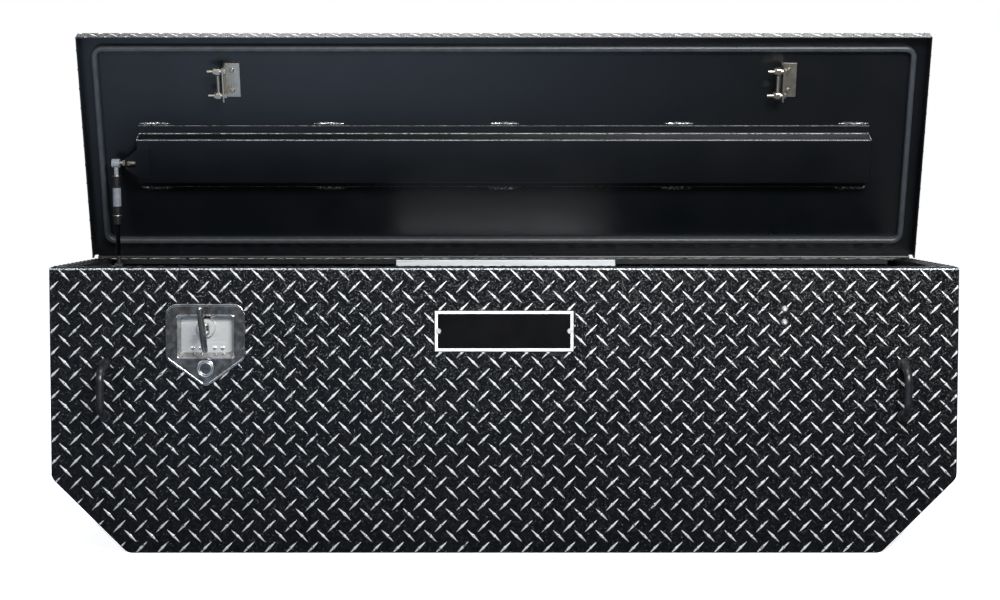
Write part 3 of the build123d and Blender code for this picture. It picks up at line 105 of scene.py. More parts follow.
# Polyester powder coat, sprayed with a texture and baked on the tread plate: near black, half
# gloss, with a fine orange peel. Its cells of about 0.5 mm, drawn at 1.2 mm so that they show
# from the camera, are each tilted a little, so the coat glitters where a lamp stands right. The
# paler specks mixed into its colour on the brightest cells, in patches, are painted glints.
powderCoat = {"base": "#040507", "grain": "#3C4045", "cellSize": 1.2, "glintFrom": 0.82, "glintTo": 1.0,
              "patches": 14.0, "tilt": 0.54, "peelSize": 1.1, "peelBump": 0.2, "peelDepth": 0.2,
              "rough": 0.27, "specular": 0.14}


def makePowderCoat():
    kind = powderCoat
    settings = {"Base Color": colour(kind["base"]), "Roughness": kind["rough"], "IOR": 1.5,
                "Specular IOR Level": kind["specular"]}
    material, tree, shader, where = newMaterial("blackTexturedPowderCoat", settings)
    cells = addNode(tree, "ShaderNodeTexVoronoi", {"Scale": 1 / (kind["cellSize"] * mm)}, {"Vector": where})
    pick = addNode(tree, "ShaderNodeMapRange", {"From Min": kind["glintFrom"], "From Max": kind["glintTo"]},
                   {"Value": cells.outputs["Color"]})
    patches = addNode(tree, "ShaderNodeTexNoise", {"Scale": kind["patches"], "Detail": 3.0},
                      {"Vector": where})
    # painted glints: paler grey specks mixed into the base colour on the brightest cells, in patches
    paintedGlints = addNode(tree, "ShaderNodeMath", {"operation": "MULTIPLY"},
                     {0: pick.outputs["Result"], 1: patches.outputs["Fac"]})
    shade = addNode(tree, "ShaderNodeMix", {"data_type": "RGBA", mixFrom: colour(kind["base"]),
                                            mixTo: colour(kind["grain"])}, {0: paintedGlints.outputs[0]})
    tree.links.new(shade.outputs[mixOut], shader.inputs["Base Color"])
    peel = addNode(tree, "ShaderNodeTexNoise", {"Scale": 1 / (kind["peelSize"] * mm), "Detail": 2.0},
                   {"Vector": where})
    centred = addNode(tree, "ShaderNodeVectorMath", {"operation": "SUBTRACT", 1: (0.5, 0.5, 0.5)},
                      {0: cells.outputs["Color"]})
    tilt = addNode(tree, "ShaderNodeVectorMath", {"operation": "SCALE", "Scale": kind["tilt"]},
                   {0: centred.outputs["Vector"]})
    surface = addNode(tree, "ShaderNodeNewGeometry")
    tilted = addNode(tree, "ShaderNodeVectorMath", {"operation": "ADD"},
                     {0: surface.outputs["Normal"], 1: tilt.outputs["Vector"]})
    facing = addNode(tree, "ShaderNodeVectorMath", {"operation": "NORMALIZE"}, {0: tilted.outputs["Vector"]})
    bump = addNode(tree, "ShaderNodeBump", {"Strength": kind["peelBump"], "Distance": kind["peelDepth"] * mm},
                   {"Height": peel.outputs["Fac"], "Normal": facing.outputs["Vector"]})
    tree.links.new(bump.outputs["Normal"], shader.inputs["Normal"])
    return material


# Powder coat sprayed smooth, inside the box and the lid: satin black, with a long soft sheen
# and faint waves where the sheet was pressed.
smoothCoat = {"base": "#040609", "rough": 0.3, "roughFrom": 0.25, "roughTo": 0.36, "waveSize": 60.0,
              "waveBump": 0.15, "waveDepth": 1.5, "peelSize": 2.2, "peelBump": 0.1, "peelDepth": 0.1}


def makeSmoothCoat():
    kind = smoothCoat
    settings = {"Base Color": colour(kind["base"]), "Roughness": kind["rough"], "IOR": 1.5}
    material, tree, shader, where = newMaterial("blackSmoothPowderCoat", settings)
    waves = addNode(tree, "ShaderNodeTexNoise", {"Scale": 1 / (kind["waveSize"] * mm), "Detail": 1.0},
                    {"Vector": where})
    peel = addNode(tree, "ShaderNodeTexNoise", {"Scale": 1 / (kind["peelSize"] * mm), "Detail": 2.0},
                   {"Vector": where})
    gloss = addNode(tree, "ShaderNodeMapRange", {"To Min": kind["roughFrom"], "To Max": kind["roughTo"]},
                    {"Value": waves.outputs["Fac"]})
    tree.links.new(gloss.outputs["Result"], shader.inputs["Roughness"])
    fine = addNode(tree, "ShaderNodeBump", {"Strength": kind["peelBump"], "Distance": kind["peelDepth"] * mm},
                   {"Height": peel.outputs["Fac"]})
    wide = addNode(tree, "ShaderNodeBump", {"Strength": kind["waveBump"], "Distance": kind["waveDepth"] * mm},
                   {"Height": waves.outputs["Fac"], "Normal": fine.outputs["Normal"]})
    tree.links.new(wide.outputs["Normal"], shader.inputs["Normal"])
    return material


# Aluminium tread, its crowns sanded through the coat: bright and scratched, with black left
# in the low spots. The scratches are about 0.2 mm wide and drawn at 1.4 mm, so that they show.
# The coat is gone where the wear noise is above its upper limit.
sandedTread = {"bare": "#EDEEEF", "dull": "#B9BCBF", "coat": "#15171A", "scratchSize": 1.4, "wearSize": 4.0,
               "wornFrom": 0.35, "wornTo": 0.44, "rough": 0.45, "roughFrom": 0.48, "roughTo": 0.64}


def makeSandedTread():
    kind = sandedTread
    settings = {"Base Color": colour(kind["bare"]), "Metallic": 1.0, "Roughness": kind["rough"]}
    material, tree, shader, where = newMaterial("sandedAluminiumTread", settings)
    wear = addNode(tree, "ShaderNodeTexNoise", {"Scale": 1 / (kind["wearSize"] * mm), "Detail": 4.0},
                   {"Vector": where})
    worn = addNode(tree, "ShaderNodeMapRange", {"From Min": kind["wornFrom"], "From Max": kind["wornTo"]},
                   {"Value": wear.outputs["Fac"]})
    scratch = addNode(tree, "ShaderNodeTexNoise", {"Scale": 1 / (kind["scratchSize"] * mm), "Detail": 2.0},
                      {"Vector": where})
    metal = addNode(tree, "ShaderNodeMix", {"data_type": "RGBA", mixFrom: colour(kind["dull"]),
                                            mixTo: colour(kind["bare"])}, {0: scratch.outputs["Fac"]})
    shade = addNode(tree, "ShaderNodeMix", {"data_type": "RGBA", mixFrom: colour(kind["coat"])},
                    {0: worn.outputs["Result"], mixTo: metal.outputs[mixOut]})
    tree.links.new(shade.outputs[mixOut], shader.inputs["Base Color"])
    tree.links.new(worn.outputs["Result"], shader.inputs["Metallic"])
    gloss = addNode(tree, "ShaderNodeMapRange", {"To Min": kind["roughFrom"], "To Max": kind["roughTo"]},
                    {"Value": scratch.outputs["Fac"]})
    tree.links.new(gloss.outputs["Result"], shader.inputs["Roughness"])
    return material


# Aluminium weld beads under the coat: black and lumpy, with small bare crests that flash
weldBead = {"coat": "#0B0D10", "bare": "#E4E6E8", "crestSize": 1.9, "crestFrom": 0.56, "crestTo": 0.6,
            "rough": 0.3, "bump": 0.8, "depth": 0.8}


def makeWeldBead():
    kind = weldBead
    settings = {"Base Color": colour(kind["coat"]), "Roughness": kind["rough"], "IOR": 1.5}
    material, tree, shader, where = newMaterial("coatedWeldBead", settings)
    lumps = addNode(tree, "ShaderNodeTexNoise", {"Scale": 1 / (kind["crestSize"] * mm), "Detail": 2.0},
                    {"Vector": where})
    crest = addNode(tree, "ShaderNodeMapRange", {"From Min": kind["crestFrom"], "From Max": kind["crestTo"]},
                    {"Value": lumps.outputs["Fac"]})
    shade = addNode(tree, "ShaderNodeMix", {"data_type": "RGBA", mixFrom: colour(kind["coat"]),
                                            mixTo: colour(kind["bare"])}, {0: crest.outputs["Result"]})
    tree.links.new(shade.outputs[mixOut], shader.inputs["Base Color"])
    tree.links.new(crest.outputs["Result"], shader.inputs["Metallic"])
    bump = addNode(tree, "ShaderNodeBump", {"Strength": kind["bump"], "Distance": kind["depth"] * mm},
                   {"Height": lumps.outputs["Fac"]})
    tree.links.new(bump.outputs["Normal"], shader.inputs["Normal"])
    return material


# Powder coat that a bend has drawn thin: it breaks into pale specks along the upper edges, which
# are the ones that rub. The specks are painted only where a face turns upward, so they are also a
# painted highlight of the lamps above on those edges. The highlight upturn is the part of the
# upward normal it starts and ends at.
wearAndPaintedHighlights = {
    "thinCoatOnStiffener": {"base": "#07090C", "speckAndHighlight": "#C9CDD3", "speckSize": 2.1, "highlightUpturn": (0.2, 0.75)},
    "thinCoatOnRim": {"base": "#0A0C0F", "speckAndHighlight": "#B4B8BD", "speckSize": 1.8, "highlightUpturn": (0.0, 0.16)},
}
speckWearAndHighlight = {"rough": 0.36, "bareFrom": 0.46, "bareTo": 0.56}


def makeWearAndHighlight(name):
    kind = wearAndPaintedHighlights[name]
    settings = {"Base Color": colour(kind["base"]), "Roughness": speckWearAndHighlight["rough"], "IOR": 1.5}
    material, tree, shader, where = newMaterial(name, settings)
    specks = addNode(tree, "ShaderNodeTexNoise", {"Scale": 1 / (kind["speckSize"] * mm), "Detail": 1.0},
                     {"Vector": where})
    bare = addNode(tree, "ShaderNodeMapRange", {"From Min": speckWearAndHighlight["bareFrom"],
                                                "From Max": speckWearAndHighlight["bareTo"]},
                   {"Value": specks.outputs["Fac"]})
    facing = addNode(tree, "ShaderNodeSeparateXYZ", {}, {0: where.node.outputs["Normal"]})
    # painted highlight: the specks fade out as the face turns away from upward
    highlightFrom, highlightTo = kind["highlightUpturn"]
    paintedTopLight = addNode(tree, "ShaderNodeMapRange", {"From Min": highlightFrom, "From Max": highlightTo},
                    {"Value": facing.outputs["Z"]})
    share = addNode(tree, "ShaderNodeMath", {"operation": "MULTIPLY"},
                    {0: bare.outputs["Result"], 1: paintedTopLight.outputs["Result"]})
    shade = addNode(tree, "ShaderNodeMix", {"data_type": "RGBA", mixFrom: colour(kind["base"]),
                                            mixTo: colour(kind["speckAndHighlight"])}, {0: share.outputs[0]})
    tree.links.new(shade.outputs[mixOut], shader.inputs["Base Color"])
    return material


grainDepth = 0.3  # millimetres that a grain's bump stands for


# Tone, gloss and relief of a metal or coat, all from one noise
def addGrain(tree, shader, kind, where, detail):
    grain = addNode(tree, "ShaderNodeTexNoise", {"Scale": 1 / (kind["grain"] * mm), "Detail": detail},
                    {"Vector": where})
    shade = addNode(tree, "ShaderNodeMix", {"data_type": "RGBA", mixFrom: colour(kind["dark"]),
                                            mixTo: colour(kind["light"])}, {0: grain.outputs["Fac"]})
    tree.links.new(shade.outputs[mixOut], shader.inputs["Base Color"])
    smoothest, roughest = kind["rough"]
    gloss = addNode(tree, "ShaderNodeMapRange", {"To Min": smoothest, "To Max": roughest},
                    {"Value": grain.outputs["Fac"]})
    tree.links.new(gloss.outputs["Result"], shader.inputs["Roughness"])
    bump = addNode(tree, "ShaderNodeBump", {"Strength": kind["bump"], "Distance": grainDepth * mm},
                   {"Height": grain.outputs["Fac"]})
    tree.links.new(bump.outputs["Normal"], shader.inputs["Normal"])


# Metals of the fittings. The grain is the size of the tone patches in millimetres, and a
# metal that was brushed or rolled has them stretched.
metals = {
    # buffed sheet, slightly wavy: its colour runs from near white to dark grey in soft patches, a painted
    # reflection of the room
    "polishedStainless": {"light": "#F2F2F2", "dark": "#3F4247", "rough": (0.1, 0.24), "grain": 11.0,
                          "bump": 0.16},
    # brushed upright: an even pale grey without reflections
    "satinStainless": {"light": "#C2C2BF", "dark": "#A5A5A4", "rough": (0.5, 0.62), "grain": 14.0,
                       "bump": 0.05, "stretch": (1, 1, 4)},
    # electroplated steel: warm grey, half bright, cloudy
    "zincPlatedSteel": {"light": "#CCC5B8", "dark": "#948E83", "rough": (0.28, 0.45), "grain": 7.0,
                        "bump": 0.05},
    # die casting, polished and plated: smooth grey that mirrors the dark side of the room
    "platedCasting": {"light": "#B9BBBE", "dark": "#77797D", "rough": (0.12, 0.22), "grain": 18.0,
                      "bump": 0.03},
    # sheet as it leaves the rolls: soft grey streaks along the tray
    "millAluminium": {"light": "#B2B4B6", "dark": "#969A9D", "rough": (0.45, 0.58), "grain": 4.0,
                      "bump": 0.05, "stretch": (0.06, 1, 1)},
    # etched aluminium frame of the nameplate: nearly white, without reflections
    "etchedAluminium": {"light": "#FAFAFA", "dark": "#E9EAEB", "rough": (0.55, 0.66), "grain": 6.0,
                        "bump": 0.03},
    # aluminium as pressed: pale, with a broad soft gleam
    "pressedAluminium": {"light": "#CBCED1", "dark": "#9FA3A7", "rough": (0.3, 0.4), "grain": 3.0,
                         "bump": 0.04},
    # ground and nitrided rod: nearly black, with one sharp line of light
    "nitridedSteel": {"light": "#3A3D41", "dark": "#24262A", "rough": (0.14, 0.22), "grain": 10.0,
                      "bump": 0.01},
    # turned bush: yellow, with fine tool marks
    "turnedBrass": {"light": "#C9A860", "dark": "#9C7E3E", "rough": (0.25, 0.38), "grain": 2.0,
                    "bump": 0.04},
}


def makeMetal(name):
    kind = metals[name]
    settings = {"Base Color": colour(kind["light"]), "Metallic": 1.0, "Roughness": sum(kind["rough"]) / 2}
    material, tree, shader, where = newMaterial(name, settings)
    stretched = addNode(tree, "ShaderNodeMapping", {"Scale": kind.get("stretch", (1, 1, 1))},
                        {"Vector": where})
    addGrain(tree, shader, kind, stretched.outputs["Vector"], 4.0)
    return material


# Paints, plastics and rubber
coats = {
    # gloss paint sprayed on steel, a little uneven, so its lights are long and broken
    "sprayedGlossPaint": {"light": "#141518", "dark": "#07080A", "rough": (0.28, 0.42), "grain": 7.0,
                          "bump": 0.5},
    # moulded nylon, black: dull, with a fine grain
    "mouldedBlackNylon": {"light": "#1B1C1E", "dark": "#0F1011", "rough": (0.45, 0.6), "grain": 2.0,
                          "bump": 0.12},
    # extruded sponge rubber: dark grey with a smooth skin that shines a little on its crown
    "extrudedSpongeRubber": {"light": "#33373C", "dark": "#1D2023", "rough": (0.36, 0.5), "grain": 12.0,
                             "bump": 0.25},
    # moulded nylon, grey: half dull and slightly mottled
    "mouldedGreyNylon": {"light": "#7A7E83", "dark": "#4E5256", "rough": (0.35, 0.5), "grain": 3.0,
                         "bump": 0.1},
    # steel sprayed black after assembly: thin satin paint, darker than the coat beside it
    "sprayedSteelPaint": {"light": "#0C0E11", "dark": "#050608", "rough": (0.35, 0.5), "grain": 4.0,
                          "bump": 0.1},
    # baked enamel: deep black that hardly mirrors anything
    "bakedEnamel": {"light": "#060607", "dark": "#030304", "rough": (0.25, 0.35), "grain": 25.0,
                    "bump": 0.03, "specular": 0.14},
    # coated paper sleeve: plain grey, slightly cloudy
    "coatedPaper": {"light": "#72767C", "dark": "#45494E", "rough": (0.4, 0.55), "grain": 6.0,
                    "bump": 0.05},
}


def makeCoat(name):
    kind = coats[name]
    settings = {"Base Color": colour(kind["light"]), "Roughness": sum(kind["rough"]) / 2, "IOR": 1.5,
                "Specular IOR Level": kind.get("specular", 0.5)}
    material, tree, shader, where = newMaterial(name, settings)
    addGrain(tree, shader, kind, where, 3.0)
    return material


finishes = {name: makeMetal(name) for name in metals}
finishes.update({name: makeCoat(name) for name in coats})
finishes["powderCoat"] = makePowderCoat()
finishes["smoothCoat"] = makeSmoothCoat()
finishes["sandedTread"] = makeSandedTread()
finishes["weldBead"] = makeWeldBead()
finishes.update({name: makeWearAndHighlight(name) for name in wearAndPaintedHighlights})
print("materials made:", len(finishes))

# Which finish each carried-over node takes
nodeFinishes = {
    "powderCoat": ["wrap_shell", "front_panel", "rear_panel", "lid_panel"],
    "smoothCoat": ["lid_stiffener", "strut_bracket"],
    "weldBead": ["stitch_welds"],
    "extrudedSpongeRubber": ["lid_seal", "dish_gasket"],
    "zincPlatedSteel": ["striker_left", "striker_right", "striker_bar_left", "striker_bar_right",
                        "striker_bolts", "striker_nuts", "striker_screws", "latch_bracket_left",
                        "latch_bracket_right", "latch_nuts", "claw_left", "claw_right", "claw_shaft_left",
                        "claw_shaft_right", "crank_arm", "crank_nut", "pull_rod", "lock_cam", "lock_case_nut",
                        "grab_handle_nuts", "dish_nuts", "dish_studs", "strut_anchor", "strut_anchor_stud",
                        "strut_stud"],
    "sprayedSteelPaint": ["hinge_box_leaf", "hinge_lid_leaf", "hinge_pin", "hinge_rivets_lid"],
    "pressedAluminium": ["hinge_rivets_box"],
    "polishedStainless": ["lock_dish"],
    "satinStainless": ["lock_hub", "nameplate_screws", "latch_bolts"],
    "platedCasting": ["t_handle", "fold_pin", "lock_case", "lock_plug"],
    "bakedEnamel": ["nameplate"],
    "sprayedGlossPaint": ["grab_handle_left", "grab_handle_right", "strut_cylinder"],
    "mouldedBlackNylon": ["strut_bottom_socket", "tray_glides"],
    "mouldedGreyNylon": ["strut_top_socket"],
    "nitridedSteel": ["strut_rod"],
    "turnedBrass": ["hub_bush"],
    "millAluminium": ["tray", "tray_rail_front", "tray_rail_rear"],
}
for finish, names in nodeFinishes.items():
    for name in names:
        node = nodes[name]
        node.data.materials.clear()
        node.data.materials.append(finishes[finish])
missing = set(nodes) - {name for names in nodeFinishes.values() for name in names}
print("nodes without a finish:", sorted(missing))

# The sheets are smooth inside: faces that look into the box or the lid take the smooth coat.
inward = {"belowLid": 300.0, "underTop": 0.2}
for name in ("wrap_shell", "front_panel", "rear_panel", "lid_panel"):
    mesh = nodes[name].data
    mesh.materials.append(finishes["smoothCoat"])
    for face in mesh.polygons:
        normal, centre = face.normal, face.center
        if name == "lid_panel":
            local = centre / mm - lid["pin"]
            below = lid["tip"] - inward["belowLid"]
            toMiddle = lidPoint(0, (lid["front"] + lid["rear"]) / 2, below) * mm - centre
            inner = normal.dot(toMiddle) > 0 and local.dot(lidZ) < lid["inside"] + inward["underTop"]
        else:
            toMiddle = Vector((0, 0, box["height"] * 0.5 * mm)) - centre
            inner = normal.dot(toMiddle) > 0
        face.material_index = 1 if inner else 0

# The front's bend carries a line of pale worn specks with painted highlight just above its flat, on faces
# turned partly upward.
rubbedAndLitLine = {"above": 470.0, "highlightUpturn": (0.02, 0.5)}
frontMesh = nodes["front_panel"].data
frontMesh.materials.append(finishes["thinCoatOnRim"])
for face in frontMesh.polygons:
    leastUp, mostUp = rubbedAndLitLine["highlightUpturn"]
    if face.center.z / mm > rubbedAndLitLine["above"] and face.normal.y < 0 and leastUp < face.normal.z < mostUp:
        face.material_index = 2

# The pressed pocket of the dish is satin on its floor. The other sizes are of the shield's outline.
dish = {"x": -500.8, "floorY": -196.5, "slack": 0.3, "half": 66.5, "low": 328.3, "high": 408.0,
        "top": 420.4, "topHalf": 54.0, "tip": 284.0, "tipHalf": 6.0}
dishMesh = nodes["lock_dish"].data
dishMesh.materials.append(finishes["satinStainless"])
for face in dishMesh.polygons:
    if face.center.y / mm > dish["floorY"] - dish["slack"]:
        face.material_index = 1

# Bent and cut edges are slightly round, and catch a line of light. The sheets come with their
# corners split, so a weld joins those before the bevel.
edgeShape = {"join": 0.002, "segments": 3, "sharperThan": math.radians(25)}
softEdges = {"lid_stiffener": 1.9, "tray": 0.7, "striker_left": 0.5, "striker_right": 0.5, "nameplate": 0.3,
             "strut_bracket": 0.6, "latch_bracket_left": 0.6, "latch_bracket_right": 0.6,
             "tray_rail_front": 0.5, "tray_rail_rear": 0.5}
for name, width in softEdges.items():
    join = nodes[name].modifiers.new("joinCorners", "WELD")
    join.merge_threshold = edgeShape["join"] * mm
    bevel = nodes[name].modifiers.new("softEdge", "BEVEL")
    bevel.width = width * mm
    bevel.segments = edgeShape["segments"]
    bevel.limit_method = "ANGLE"
    bevel.angle_limit = edgeShape["sharperThan"]
    bevel.use_clamp_overlap = True
# The stiffener's bends take the pale worn specks with their painted highlight.
nodes["lid_stiffener"].data.materials.append(finishes["thinCoatOnStiffener"])
nodes["lid_stiffener"].modifiers["softEdge"].material = 1


def newPiece(name, bm, finish, body, smooth=False):
    mesh = bpy.data.meshes.new(name)
    bm.to_mesh(mesh)
    bm.free()
    piece = bpy.data.objects.new(name, mesh)
    bpy.context.scene.collection.objects.link(piece)
    mesh.materials.append(finishes[finish])
    for face in mesh.polygons:
        face.use_smooth = smooth
    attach(piece, body)
    return piece


# Faces between rows of points. A ringed row joins its last point to its first, and looped
# rows join the last row to the first.
def joinRows(bm, rows, ringed=False, looped=False):
    for near, far in zip(rows, rows[1:] + (rows[:1] if looped else [])):
        for k in range(len(near) if ringed else len(near) - 1):
            after = (k + 1) % len(near)
            bm.faces.new((near[k], near[after], far[after], far[k]))


def turns(count):  # angles all the way round
    return [2 * math.pi * k / count for k in range(count)]


def halfTurns(count):  # angles over a crown, from one side to the other
    return [math.pi * k / count for k in range(count + 1)]


# Raised bars of the tread plate, in two crossed families on one lattice. Each bar is a low
# lens with pointed ends and a small knot at its middle.
tread = {"pitchU": 36.1, "pitchV": 36.7, "length": 30.4, "halfWidth": 2.45, "height": 1.0, "sink": 0.05,
         "start": (-738.0, 138.9), "across": (17.6, 16.7), "crown": 0.55, "margin": 15.0,
         "lengthVaries": (0.96, 1.04), "widthVaries": (0.92, 1.06), "placeVaries": (-0.25, 0.25)}
# along the bar: place, half width and height, as shares
barStations = [(-0.6, 0.48, 0.7), (-0.17, 0.76, 0.95), (0.0, 1.08, 1.0), (0.17, 0.76, 0.95), (0.6, 0.48, 0.7)]
# The bend at the top of a panel, and how much of it the sander reaches
fold = {"radius": 5.0, "cuts": 4, "sanded": 0.3}
fold["flat"] = box["height"] - fold["radius"]
fold["arc"] = fold["radius"] * math.pi / 2


def addBar(bm, u, v, slope):
    along = Vector((1, slope)).normalized()
    side = Vector((-along.y, along.x))
    half = tread["length"] / 2 * random.uniform(*tread["lengthVaries"])
    wide = tread["halfWidth"] * random.uniform(*tread["widthVaries"])
    middle = Vector((u, v)) + side * random.uniform(*tread["placeVaries"])

    def corner(s, t, h):
        flat = middle + along * (s * half) + side * (t * wide)
        return bm.verts.new((flat.x, flat.y, h * tread["height"] - tread["sink"]))

    first, last = corner(-1, 0, 0), corner(1, 0, 0)
    crown = tread["crown"]
    rows = [[corner(s, -w, 0), corner(s, -w * crown, h), corner(s, w * crown, h), corner(s, w, 0)]
            for s, w, h in barStations]
    for k in range(3):
        bm.faces.new((first, rows[0][k + 1], rows[0][k]))
        bm.faces.new((last, rows[-1][k], rows[-1][k + 1]))
    joinRows(bm, rows)


cutReach = 1e-5  # a point nearer than this counts as on the cut


def cutOutside(bm, outline):  # outline runs counter-clockwise in u and v
    for a, b in zip(outline, outline[1:] + outline[:1]):
        edge = Vector((b[0] - a[0], b[1] - a[1]))
        everything = bm.verts[:] + bm.edges[:] + bm.faces[:]
        bmesh.ops.bisect_plane(bm, geom=everything, plane_co=(a[0], a[1], 0), plane_no=(edge.y, -edge.x, 0),
                               clear_outer=True, dist=cutReach)


def cutHole(bm, outline):
    lowU, highU = min(p[0] for p in outline), max(p[0] for p in outline)
    lowV, highV = min(p[1] for p in outline), max(p[1] for p in outline)
    reach = tread["length"]

    def near(point):
        return lowU - reach < point.x < highU + reach and lowV - reach < point.y < highV + reach

    for a, b in zip(outline, outline[1:] + outline[:1]):
        edge = Vector((b[0] - a[0], b[1] - a[1]))
        faces = [f for f in bm.faces if near(f.calc_center_median())]
        edges = list(dict.fromkeys(e for f in faces for e in f.edges))
        verts = list(dict.fromkeys(v for f in faces for v in f.verts))
        bmesh.ops.bisect_plane(bm, geom=verts + edges + faces, plane_co=(a[0], a[1], 0),
                               plane_no=(edge.y, -edge.x, 0), dist=cutReach)

    def inside(point):
        return all((b[0] - a[0]) * (point.y - a[1]) - (b[1] - a[1]) * (point.x - a[0]) > 0
                   for a, b in zip(outline, outline[1:] + outline[:1]))

    gone = [f for f in bm.faces if near(f.calc_center_median()) and inside(f.calc_center_median())]
    bmesh.ops.delete(bm, geom=gone, context="FACES")


def foldOver(bm):
    # Above the flat of a panel the pattern runs round the bend and on over the rim. The
    # sander stops at the bend, so the bars past it keep their coat.
    for k in range(fold["cuts"] + 1):
        place = (0, fold["flat"] + fold["arc"] * k / fold["cuts"], 0)
        everything = bm.verts[:] + bm.edges[:] + bm.faces[:]
        bmesh.ops.bisect_plane(bm, geom=everything, plane_co=place, plane_no=(0, 1, 0), dist=cutReach)
    for face in bm.faces:
        if face.calc_center_median().y - fold["flat"] > fold["sanded"] * fold["arc"]:
            face.material_index = 1
    for vert in bm.verts:
        past = vert.co.y - fold["flat"]
        if past <= 0:
            continue
        turn = min(past, fold["arc"]) / fold["radius"]
        further = max(0.0, past - fold["arc"])
        reach = fold["radius"] + vert.co.z
        vert.co.z = reach * math.cos(turn) - fold["radius"] - further
        vert.co.y = fold["flat"] + reach * math.sin(turn)


def pressTread(name, origin, uDir, vDir, outline, body, holes=(), start=None, folded=False):
    bm = bmesh.new()
    startU, startV = start or tread["start"]
    lowU, highU = min(p[0] for p in outline), max(p[0] for p in outline)
    lowV, highV = min(p[1] for p in outline), max(p[1] for p in outline)
    margin = tread["margin"]
    for slope, (moveU, moveV) in ((-1, (0, 0)), (1, tread["across"])):
        firstU = math.ceil((lowU - margin - startU - moveU) / tread["pitchU"])
        firstV = math.ceil((lowV - margin - startV - moveV) / tread["pitchV"])
        for i in range(firstU, int((highU + margin - startU - moveU) / tread["pitchU"]) + 1):
            for j in range(firstV, int((highV + margin - startV - moveV) / tread["pitchV"]) + 1):
                addBar(bm, startU + moveU + i * tread["pitchU"], startV + moveV + j * tread["pitchV"], slope)
    cutOutside(bm, list(outline))
    for hole in holes:
        cutHole(bm, hole)
    if folded:
        foldOver(bm)
    uDir, vDir = Vector(uDir), Vector(vDir)
    out = uDir.cross(vDir)
    turn = Matrix((uDir, vDir, out)).transposed().to_4x4()
    bm.transform(Matrix.Scale(mm, 4) @ Matrix.Translation(origin) @ turn)
    piece = newPiece(name, bm, "sandedTread", body)
    if folded:
        piece.data.materials.append(finishes["powderCoat"])
    return piece


def roundHole(u, v, radius):
    return [(u + radius * math.cos(a), v + radius * math.sin(a)) for a in turns(12)]


def rectangle(u0, v0, u1, v1):
    return [(u0, v0), (u1, v0), (u1, v1), (u0, v1)]


# What else stands on the front: the nameplate, the feet of the grab handles and the latch bolts
plate = {"half": 116.5, "low": 340.55, "high": 409.05, "face": -210.5, "border": 4.8, "edge": 0.4,
         "rise": 0.3, "slope": 0.3}
handleFeet = {"x": 670.5, "heights": (231.5, 319.5), "radius": 10.2}
latchBolts = {"x": 470.4, "heights": (390, 412), "radius": 6.0}
# How far the bars keep from the edges of the sheets and from the fittings
margins = {"edge": 1.6, "knee": 0.41, "fitting": 0.8, "rim": 0.5, "slant": 9.0, "rearTop": 461.0,
           "lidTip": 0.4, "lidRear": 0.6}

edgeGap, fitGap = margins["edge"], margins["fitting"]
side = box["halfWidth"] - edgeGap
flat = box["halfWidth"] - box["cornerCut"] - edgeGap * margins["knee"]
knee = box["cornerCut"] + edgeGap * margins["knee"]
rimStart = fold["flat"] + fold["arc"]
rimDepth = box["rimWidth"] - fold["radius"] - margins["rim"]
rimSide = side - fold["radius"]
endOutline = [(-flat, edgeGap), (flat, edgeGap), (side, knee), (side, fold["flat"]), (rimSide, rimStart),
              (rimSide - rimDepth, rimStart + rimDepth), (rimDepth - rimSide, rimStart + rimDepth),
              (-rimSide, rimStart), (-side, fold["flat"]), (-side, knee)]
dishSide = [(dish["half"] + fitGap, dish["low"]), (dish["half"] + fitGap, dish["high"]),
            (dish["topHalf"], dish["top"] + fitGap)]
dishHole = [(dish["x"] + u, v) for u, v in dishSide] + [(dish["x"] - u, v) for u, v in reversed(dishSide)]
dishHole += [(dish["x"] + s * dish["tipHalf"], dish["tip"] - fitGap) for s in (-1, 1)]
frontHoles = [dishHole, rectangle(-plate["half"] - fitGap, plate["low"] - fitGap,
                                  plate["half"] + fitGap, plate["high"] + fitGap)]
frontHoles += [roundHole(s * handleFeet["x"], z, handleFeet["radius"]) for s in (-1, 1)
               for z in handleFeet["heights"]]
frontHoles += [roundHole(latchBolts["x"], z, latchBolts["radius"]) for z in latchBolts["heights"]]
pressTread("treadFront", Vector((0, -box["halfDepth"], 0)), (1, 0, 0), (0, 0, 1), endOutline, "box",
           frontHoles, folded=True)
print("front tread pressed")
rearOutline = [(-flat, edgeGap), (flat, edgeGap), (side, knee), (side, margins["rearTop"]),
               (-side, margins["rearTop"]), (-side, knee)]
pressTread("treadRear", Vector((0, box["halfDepth"], 0)), (-1, 0, 0), (0, 0, 1), rearOutline, "box")
deep = box["halfDepth"] - edgeGap
rimDeep = deep - fold["radius"]
sideOutline = [(-deep, knee), (deep, knee), (deep, fold["flat"]), (rimDeep, rimStart),
               (rimDeep - rimDepth, rimStart + rimDepth), (rimDepth - rimDeep, rimStart + rimDepth),
               (-rimDeep, rimStart), (-deep, fold["flat"])]
pressTread("treadRight", Vector((box["halfWidth"], 0, 0)), (0, 1, 0), (0, 0, 1), sideOutline, "box",
           folded=True)
pressTread("treadLeft", Vector((-box["halfWidth"], 0, 0)), (0, -1, 0), (0, 0, 1), sideOutline, "box",
           folded=True)
diagonal = math.sqrt(0.5)
slant = box["cornerCut"] * math.sqrt(2) / 2 - margins["slant"]
slantOutline = rectangle(-deep, -slant, deep, slant)
middle = box["halfWidth"] - box["cornerCut"] / 2
pressTread("treadSlantRight", Vector((middle, 0, box["cornerCut"] / 2)), (0, 1, 0), (diagonal, 0, diagonal),
           slantOutline, "box")
pressTread("treadSlantLeft", Vector((-middle, 0, box["cornerCut"] / 2)), (0, -1, 0), (-diagonal, 0, diagonal),
           slantOutline, "box")
# The rear rim has its own strip, because the hinge leaf covers the top of the rear panel
rearRim = [(-rimSide, rimDeep), (rimDepth - rimSide, rimDeep - rimDepth),
           (rimSide - rimDepth, rimDeep - rimDepth), (rimSide, rimDeep)]
pressTread("treadRimRear", Vector((0, 0, box["height"])), (1, 0, 0), (0, 1, 0), rearRim, "box")
print("box tread pressed")

